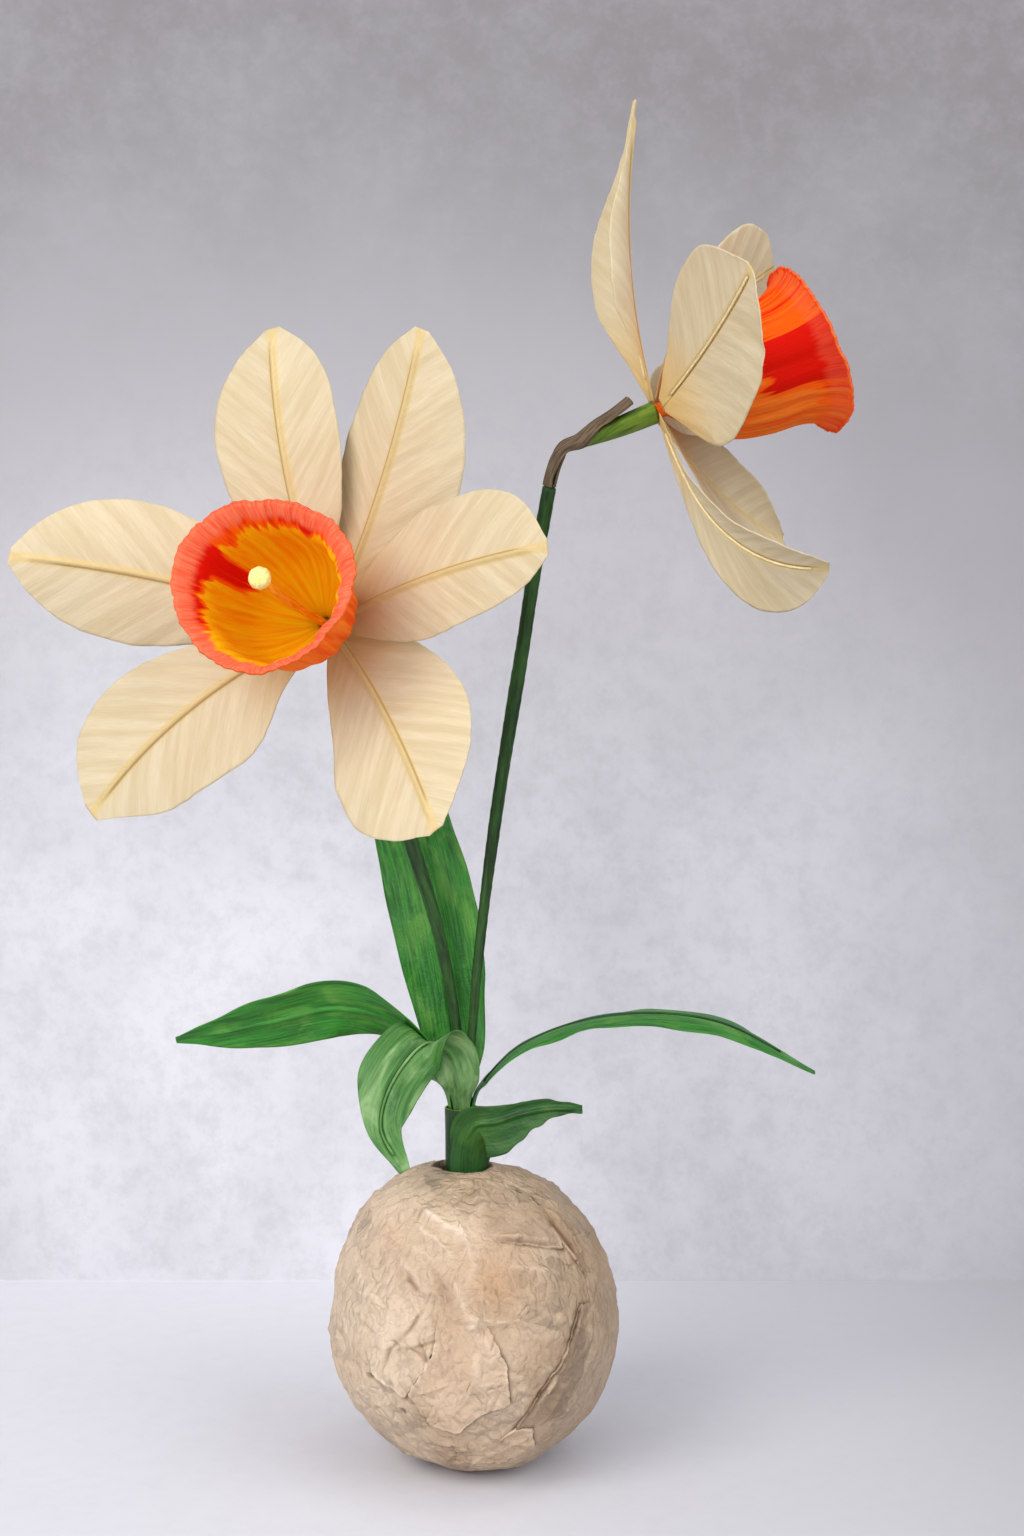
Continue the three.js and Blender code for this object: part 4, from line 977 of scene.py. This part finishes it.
# Folds on the front: places along each in millimetres, its half width, its height and its painted highlight,
# negative for painted shade
FOLDS = [
    ([[-21, 113], [-12, 109.3], [-0.7, 103]], 1.9, 1.5, 0.7),
    ([[-24, 108], [-14, 104], [-5, 97]], 1.3, 0.7, 0.4),
    ([[-10.9, 116.4], [-3.5, 107.2], [1.7, 95.4], [-3.7, 85.3]], 1.8, 0.9, 0.3),
    ([[-25.7, 90.9], [-20.1, 85]], 0.7, -0.8, -0.5),
    ([[-16, 82], [-23.5, 71.8], [-32.3, 61.4], [-35.6, 49.6]], 0.7, -0.9, -0.7),
    ([[-10.2, 69.4], [-20, 65], [-32, 61]], 0.6, -0.6, -0.5),
    ([[-41.4, 49.7], [-37.7, 48]], 0.7, -1.2, -1.0),
    ([[-27.3, 38], [-25.8, 35.5]], 0.7, -1.2, -1.0),
    ([[42.7, 76.3], [37.5, 60.5]], 0.7, -1.2, -0.9),
    ([[43.8, 75.6], [38.8, 60.2]], 0.6, 0.5, 0.4),
    ([[36.7, 58.4], [26.9, 45.6], [17.2, 31.1]], 0.7, -0.9, -0.7),
    ([[38, 57.4], [28.3, 44.8], [18.8, 30.6]], 0.7, 0.7, 0.6),
    ([[35.2, 52], [30, 45.4], [22, 33]], 0.6, 0.6, 0.5),
    ([[6.6, 105.4], [19.1, 103.8], [32.6, 100.3]], 0.9, 0.7, 0.3),
    ([[6.6, 103.9], [19.1, 102.3], [32.6, 98.8]], 0.9, -0.6, -0.3),
    ([[12.9, 95], [25, 92.7], [37.6, 88.2]], 0.9, 0.6, 0.3),
    ([[30.3, 106.9], [41.8, 93.2]], 1.1, -1.1, -0.9),
    ([[-2, 76], [6, 68], [11, 58]], 2.2, 0.8, 0.3),
    ([[-8, 92], [-2, 80], [4, 72]], 1.8, 0.8, 0.3),
    ([[-17, 96], [-10, 86], [-6, 78]], 1.5, -0.7, -0.2),
    ([[-13, 74], [-16, 62], [-20, 52]], 2.0, 0.6, 0.2),
    ([[2, 66], [3, 54], [8, 46]], 1.9, 0.7, 0.3),
    ([[-47, 88], [-38, 80], [-33, 70]], 1.1, 0.6, 0.2),
    ([[-44, 70], [-38, 66]], 0.8, -0.6, -0.4),
    ([[-34, 104], [-22, 100], [-12, 96]], 1.2, 0.6, 0.2),
    ([[-30, 97], [-22, 91], [-18, 84]], 1.1, 0.6, 0.3),
    ([[24, 80], [31, 75], [38, 72]], 1.0, 0.5, 0.2),
]
# Overlapping torn patches: their outline on the front with how far each corner stands off, which also sets
# the painted shadow and highlight along that edge, and their tone
PATCHES = [
    ([[42.7, 76.3, 1], [37.5, 60.5, 1], [26.9, 45.6, 1], [17.2, 31.1, 1], [20, 24, 0], [34, 28, 0],
      [45, 45, 0], [50, 62, 0], [48, 76, 0]], -0.32),
    ([[17.2, 31.1, 1], [23.6, 29.6, 1], [24.6, 19.5, 1], [10, 13.5, 0.4], [-12, 14.5, 0.4], [-16, 17, 0],
      [-4, 19, 0], [10, 26, 0]], 0.2),
    ([[-44, 70, 0], [-28, 86, 0], [-15, 82, 0], [-8, 70, 0], [-15, 63, 1], [-25.3, 43.6, 1], [-38, 51, 1],
      [-42, 60, 0]], 0.2),
    ([[-12, 80, 0], [4, 78, 0], [11, 66, 0.6], [14, 57.6, 1], [14.8, 43.6, 1], [3, 37.5, 1], [-6.4, 29.6, 1],
      [-16, 33, 0.6], [-22, 41, 0.3], [-24, 46, 1], [-14, 64, 1]], 0.24),
    ([[1.1, 121, 0.6], [10.4, 119.5, 1], [22.8, 115, 1], [30.3, 106.9, 1], [36, 97, 1], [22, 101, 0.7],
      [5, 104, 0.3], [1, 112, 0]], -0.26),
    ([[24, 113.5, 0], [32, 109, 0.4], [43, 96, 0.4], [46, 84, 0], [41, 92, 1], [31, 105, 1]], -0.1),
]


def polyline_distance(points, line):
    """Distance from each point to a line of points, and how far along the line its nearest place is."""
    best = np.full(len(points), 1e9)
    share = np.zeros(len(points))
    steps = np.linalg.norm(np.diff(line, axis=0), axis=1)
    before = lengths_to(line)
    for k, step in enumerate(steps):
        way = (line[k + 1] - line[k]) / step
        d = points - line[k]
        t = np.clip(d @ way, 0, step)
        gap = np.linalg.norm(d - t[:, None] * way, axis=1)
        closer = gap < best
        best = np.where(closer, gap, best)
        share = np.where(closer, (before[k] + t) / before[-1], share)
    return best, share


def crumple(points):
    """How far the paper stands off the smooth bulb, and the painted highlight and shade on it there."""
    flat = points.reshape(-1, 3)
    lift = 0.5 * noise(flat / 17, 61) + 0.3 * noise(flat / 7, 62)
    # the left and the middle are crushed more than the right
    crushed = 1 - 0.55 * ease(flat[:, 0], 8, 30) * ease(-flat[:, 1], -10, 20)
    bent = flat + 2.5 * stack(noise(flat / 13, 67), noise(flat / 13 + 5, 68), noise(flat / 13 + 9, 69))
    ridged = 0
    ways = (((0.5, 0, -0.86), 6.0, 26.0), ((-0.74, 0, -0.67), 7.0, 24.0))
    for number, (way, narrow, long) in enumerate(ways):
        way = unit(way)
        along = bent @ way
        rest = bent - along[:, None] * way
        drawn_out = rest / narrow + along[:, None] / long * way + 3 * number
        folds = (1 - np.abs(noise(drawn_out, 80 + number))) ** 3
        ridged = ridged + folds * ease(noise(flat / 21 + 7 * number, 84 + number), -0.35, 0.35)
    lift = lift + 0.95 * (0.35 + 0.65 * crushed) * (ridged - 0.5)
    rng = np.random.default_rng(5)
    crests = np.zeros(len(flat))
    for _ in range(CREASES):
        axis = unit(rng.normal(size=3))
        start = bulb_point(np.array(math.acos(axis[2])), np.array(math.atan2(axis[1], axis[0])))
        normal = unit(start - BULB_MIDDLE)
        along = np.cross(normal, unit(rng.normal(size=3)))
        along = unit(along - along.dot(normal) * normal)
        span = rng.uniform(6, 21)
        wide = rng.uniform(0.5, 1.4)
        high = rng.uniform(0.25, 1.05) * rng.choice([1, 1, -1])
        bend = rng.uniform(-0.014, 0.014)
        near = np.nonzero(((flat - start) ** 2).sum(1) < (span + 6) ** 2)[0]
        d = flat[near] - start
        x = d @ along
        y = d @ np.cross(normal, along) - bend * x * x
        crests[near] += high * crushed[near] * np.exp(-np.abs(y) / wide) * np.clip(1 - (x / span) ** 2, 0, 1)
    lift = lift + crests
    # painted highlight on the crests of the creases and painted shade in their hollows
    tone = 0.5 * ease(crests, 0.45, 1.1) - 0.5 * ease(-crests, 0.5, 1.0)
    # painted light on the left of the bulb and painted shade on its right
    tone = tone + 0.3 * ease(-flat[:, 0], 0, 45) - 0.24 * ease(flat[:, 0], 8, 45)
    for places, wide, high, pale in FOLDS:
        line = front_points(places)
        near = np.nonzero((((flat - line.mean(0)) ** 2).sum(1) < 45 ** 2) & (flat[:, 1] < 15))[0]
        gap, share = polyline_distance(flat[near], line)
        gap = np.abs(gap + 0.35 * wide * noise(flat[near] / 4, 66))
        taper = ease(share, -0.02, 0.25) * (1 - ease(share, 0.75, 1.02))
        body = np.exp(-((gap / wide) ** 1.4)) * taper
        lift[near] += 1.5 * high * body
        # painted highlight on raised folds and painted shade in sunken ones
        tone[near] += 1.2 * pale * body
    return lift.reshape(points.shape[:-1]), tone.reshape(points.shape[:-1])


def bulb_skin(points, extra=0.0):
    """Points of the bulb moved out by the crumpled paper on them, with the painted highlight and shade on the
    paper.
    """
    out = unit(points - BULB_MIDDLE)
    lift, tone = crumple(points)
    height = points[..., 2]
    away = np.hypot(points[..., 0] - BUNDLE_X, points[..., 1])
    at_hole = ease(height, BULB_TOP - 8, BULB_TOP - 2) * (1 - ease(away, HOLE_RADIUS, HOLE_RADIUS + 5))
    at_rest = 1 - ease(height, 0.5, 4)
    lift = lift * (1 - np.maximum(at_hole, at_rest))
    return points + out * (np.clip(lift, -1.8, 2.3) + extra)[..., None], tone


def edge_shade(points, first):
    """The painted shadow beside the edges of the patches that lie on top."""
    flat = points.reshape(-1, 3)
    tone = np.zeros(len(flat))
    for outline, _ in PATCHES[first:]:
        outline = np.asarray([*outline, outline[0]], float)
        line = front_points(outline[:, :2])
        reached = lengths_to(line)
        near = np.nonzero((((flat - line.mean(0)) ** 2).sum(1) < 50 ** 2) & (flat[:, 1] < 5))[0]
        gap, share = polyline_distance(flat[near], line)
        shown = np.interp(share * reached[-1], reached, outline[:, 2])
        tone[near] -= 0.8 * shown * np.exp(-((gap / 0.95) ** 2))
    return tone.reshape(points.shape[:-1])


def paper_shade_and_tint(tone, bare):
    """The painted highlight, the painted shade and how brown the kraft paper is at each point; on the patches
    the first two also carry each patch's own tone.
    """
    return stack(np.clip(tone, 0, 0.9), np.clip(-tone, 0, 0.9), bare).reshape(-1, 3)


def add_patch(outline, tone, number, points, faces, shade_and_tint):
    """A torn patch of paper glued on the front: a fan of rings from its middle to its ragged edge."""
    outline = np.asarray(outline, float)
    closed = np.vstack([outline, outline[:1]])
    reached = lengths_to(closed[:, :2])
    spokes, rings = 220, 16
    at = np.linspace(0, reached[-1], spokes, endpoint=False)
    rim = np.stack([np.interp(at, reached, closed[:, k]) for k in range(2)], -1)
    shown = np.interp(at, reached, closed[:, 2])
    ragged = 0.5 * noise(stack(at / 3.0, number, 0), 71) + 0.25 * noise(stack(at / 1.1, number, 1), 72)
    centre = outline[:, :2].mean(0)
    away = unit(rim - centre)
    rim = rim + away * ragged[:, None]
    share = np.concatenate([np.linspace(0.04, 0.97, rings) ** 0.8, [1.0, 1.0]])
    flat = centre + share[:, None, None] * (rim - centre)
    near_rim = ease(share, 0.55, 1)[:, None]
    extra = 0.2 + near_rim * lerp(-0.35, 1.0, shown)
    extra[-1] = -0.9
    base = front_points(flat).reshape(len(share), spokes, 3)
    skin, shade = bulb_skin(base, extra)
    shade = shade + edge_shade(base, number + 1) + tone * lerp(1 - near_rim, 1, shown)
    # painted highlight along the raised edges, and painted shadow down their skirt
    shade = shade + 0.5 * shown * ease(share, 0.93, 1.0)[:, None]
    shade[-1] -= 0.8 * shown
    start = sum(len(block) for block in points)
    index = ring_numbers(len(share), spokes, start)
    quads = grid_faces(index)
    hub = start + len(share) * spokes
    fan = np.stack([np.full(spokes, hub), index[0, 1:], index[0, :-1]], -1)
    heart, heart_tone = bulb_skin(front_points([centre]), np.array([0.2]))
    a, b, c = skin[3, 0], skin[3, 1], skin[4, 1]
    outwards = np.cross(b - a, c - a).dot(a - np.array([0, 0, BULB_WAIST])) > 0
    points += [skin.reshape(-1, 3), heart]
    faces += [quads if outwards else quads[:, ::-1], fan if outwards else fan[:, ::-1]]
    shade = np.concatenate([shade.reshape(-1), heart_tone + tone])
    shade_and_tint.append(paper_shade_and_tint(shade, 0.15 * (number % 2)))


def add_collar(ring, cols, points, faces, shade_and_tint):
    """Torn paper that reaches in from the front of the hole's rim to the foot of the plant."""
    angle = np.arctan2(ring[:, 1], ring[:, 0] - BUNDLE_X)
    front = ease(-np.sin(angle), -0.05, 0.35)
    reach = np.where(np.cos(angle) > 0.1, 10.6, 8.9) + 0.7 * noise(stack(angle * 4, 3, 5), 75)
    rows = 7
    share = np.linspace(0, 1, rows)[:, None]
    rim = np.hypot(ring[:, 0] - BUNDLE_X, ring[:, 1])
    radius = lerp(rim, lerp(rim, np.minimum(reach, rim), front), share)
    sag = 0.5 * share + 0.6 * noise(stack(angle * 3, share * 2, 9), 76) * share
    top = stack(BUNDLE_X + radius * np.cos(angle), radius * np.sin(angle), ring[:, 2] - sag)
    low = top[::-1].copy()
    low[..., 2] -= 0.5
    block = np.concatenate([top, low])
    start = sum(len(group) for group in points)
    points.append(block.reshape(-1, 3))
    faces.append(grid_faces(ring_numbers(2 * rows, cols, start)))
    # dark is painted shade, growing towards the foot of the plant and full under the paper; light makes the
    # middle of the band paler
    dark = 0.35 * np.concatenate([share ** 3, np.ones((rows, 1))]) * np.ones(cols)
    light = 0.3 * np.concatenate([share * (1 - share), np.zeros((rows, 1))]) * np.ones(cols)
    shade_and_tint.append(stack(light, dark, 0.0).reshape(-1, 3))


def add_bulb():
    rows, cols = 214, 300
    hole = math.asin((HOLE_RADIUS / BULB_RADIUS) ** (1 / BULB_SHOULDER))
    polar = np.linspace(hole, np.pi - BULB_REST_ANGLE, rows)[:, None]
    turn = full_turn(cols)
    around = turn - 0.6 * np.sin(turn + np.pi / 2)
    smooth_skin = bulb_point(polar, around)
    skin, tone = bulb_skin(smooth_skin)
    tone = tone + edge_shade(smooth_skin, 0)
    bare = ease(noise(skin / 30 + 3.3, 63), 0.35, 0.8) * 0.3
    warm = np.exp(-((skin - front_points([[9.8, 90]])[0]) ** 2).sum(-1) / 110)
    points = [skin.reshape(-1, 3)]
    shade_and_tint = [paper_shade_and_tint(tone, np.clip(bare + 0.35 * warm, 0, 1))]
    ring = skin[0]
    depths = np.linspace(0, 1, 8)[1:]
    for depth in depths:
        shrink = 1 - 0.02 * depth
        wall = ring.copy()
        wall[:, 0] = BUNDLE_X + (ring[:, 0] - BUNDLE_X) * shrink
        wall[:, 1] = ring[:, 1] * shrink
        wall[:, 2] = lerp(ring[:, 2], BULB_TOP - HOLE_DEPTH, depth)
        points.append(wall)
        # painted shade, darker deeper in the hole
        shade_and_tint.append(stack(0.0, 0.5 * depth + 0.2, 0.0) * np.ones((cols, 1)))
    points.append(np.array([[0, 0, 0], [BUNDLE_X, 0, BULB_TOP - HOLE_DEPTH]]))
    # painted shade on the floor of the hole
    shade_and_tint.append(np.array([[0, 0, 0], [0, 0.7, 0]]))
    outer = ring_numbers(rows, cols)
    down = np.concatenate([outer[:1], ring_numbers(len(depths), cols, rows * cols)])
    n = sum(len(block) for block in points)
    base = np.stack([outer[-1, :-1], np.full(cols, n - 2), outer[-1, 1:]], -1)
    floor = np.stack([down[-1, :-1], down[-1, 1:], np.full(cols, n - 1)], -1)
    faces = [grid_faces(outer)[:, [0, 3, 2, 1]], grid_faces(down), base, floor]
    for number, (outline, shade) in enumerate(PATCHES):
        add_patch(outline, shade, number, points, faces, shade_and_tint)
    add_collar(ring, cols, points, faces, shade_and_tint)
    points, shade_and_tint = np.concatenate(points), np.concatenate(shade_and_tint)
    obj = make("bulb_wrap", points, faces, "bulb_kraft", {"place": points, "shade_and_tint": shade_and_tint})
    place_on(obj, "bulb_kraft", "bulb")


add_bulb()

# Stage, light and camera


def backdrop():
    k = Look("backdrop")
    where = k.add("NewGeometry").outputs["Position"]
    x, _, z = k.parts(where)
    weave = k.noise(k.scaled(where, 90.0, 90.0, 90.0), 1.0, 5.0, 0.75)
    cloud = k.noise(k.scaled(where, 9.0, 9.0, 9.0), 1.0, 5.0, 0.65)
    wall = k.ramp(z, 0.0, 0.001)
    off = k.vector("SUBTRACT", where, (-0.06, 0.24, 0.1))
    off = k.scaled(off, 0.62, 0, 0.75)
    far = k.add("VectorMath", {0: off}, operation="LENGTH").outputs["Value"]
    # painted pool of light on the wall, brightest low behind the plant and darker farther out
    color = k.mix(k.ramp(far, 0.05, 0.42), rgb(219, 218, 224), rgb(128, 125, 127))
    # painted shade: the floor darkens to the right
    ground = k.mix(k.ramp(x, -0.15, 0.6), rgb(216, 216, 222), rgb(150, 148, 151))
    color = k.mix(wall, ground, color)
    mottle = k.times(wall, k.ramp(cloud, 0.35, 0.7, 0.0, 0.3))
    color = k.mix(mottle, color, rgb(166, 165, 170))
    grain = k.times(k.ramp(weave, 0.4, 0.7, 0.0, 0.22), k.ramp(wall, 0.0, 1.0, 0.25, 1.0))
    color = k.mix(grain, color, rgb(160, 158, 165))
    k.finish(color, 0.9, specular=0.1)
    back = 0.238
    xs = [-2.5, 2.5]
    profile = [(-1.6, 0.0), (back, 0.0), (back, 2.2)]
    verts = [(x, y, z) for y, z in profile for x in xs]
    faces = [(2 * i, 2 * i + 1, 2 * i + 3, 2 * i + 2) for i in range(len(profile) - 1)]
    mesh = bpy.data.meshes.new("backdrop")
    mesh.from_pydata(verts, [], faces)
    mesh.materials.append(LOOKS["backdrop"])
    obj = new_object("backdrop", mesh)
    obj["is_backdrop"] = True


def lamp(name, at, to, size, power, color=(1, 1, 1)):
    data = bpy.data.lights.new(name, "AREA")
    data.shape = "SQUARE"
    data.size = size
    data.energy = power
    data.color = color
    obj = new_object(name, data)
    obj.location = at
    obj.rotation_euler = (Vector(to) - Vector(at)).to_track_quat("-Z", "Y").to_euler()


backdrop()
lamp("key", (-1.1, -1.15, 1.3), (0.0, 0.0, 0.22), 1.0, 19.0, (1.0, 0.985, 0.96))
lamp("front", (-0.43, -1.2, 0.66), (0.0, 0.0, 0.36), 0.6, 6.0, (1.0, 0.99, 0.97))
lamp("fill", (1.25, -1.0, 1.0), (0.1, 0.0, 0.38), 1.4, 14.5, (0.96, 0.98, 1.0))
lamp("back", (0.4, 0.1, 1.5), (0.0, 0.1, 0.2), 0.8, 6.0)

world = bpy.data.worlds.new("studio")
bpy.context.scene.world = world
world.use_nodes = True
world.node_tree.nodes["Background"].inputs["Color"].default_value = (0.93, 0.94, 1.0, 1.0)
world.node_tree.nodes["Background"].inputs["Strength"].default_value = 0.54

# The photo's camera, found from the line where wall and floor meet and from the bulb's outline, in metres
PHOTO_EYE, PHOTO_LOOKS_DOWN, PHOTO_LENS = (0.016, -0.940, 0.36716), 5, 55.08
camera_data = bpy.data.cameras.new("camera")
camera_data.lens = PHOTO_LENS
camera_data.sensor_width = 36
camera = new_object("camera", camera_data)
camera.location = PHOTO_EYE
camera.rotation_euler = (math.radians(90 - PHOTO_LOOKS_DOWN), 0, 0)
bpy.context.scene.camera = camera
bpy.context.scene.view_settings.view_transform = "Standard"

bpy.context.view_layer.update()
made_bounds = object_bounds()
plain = lambda box: [[float(v) for v in corner] for corner in box]
{"cad": plain(cad_bounds), "scene": plain(made_bounds)}
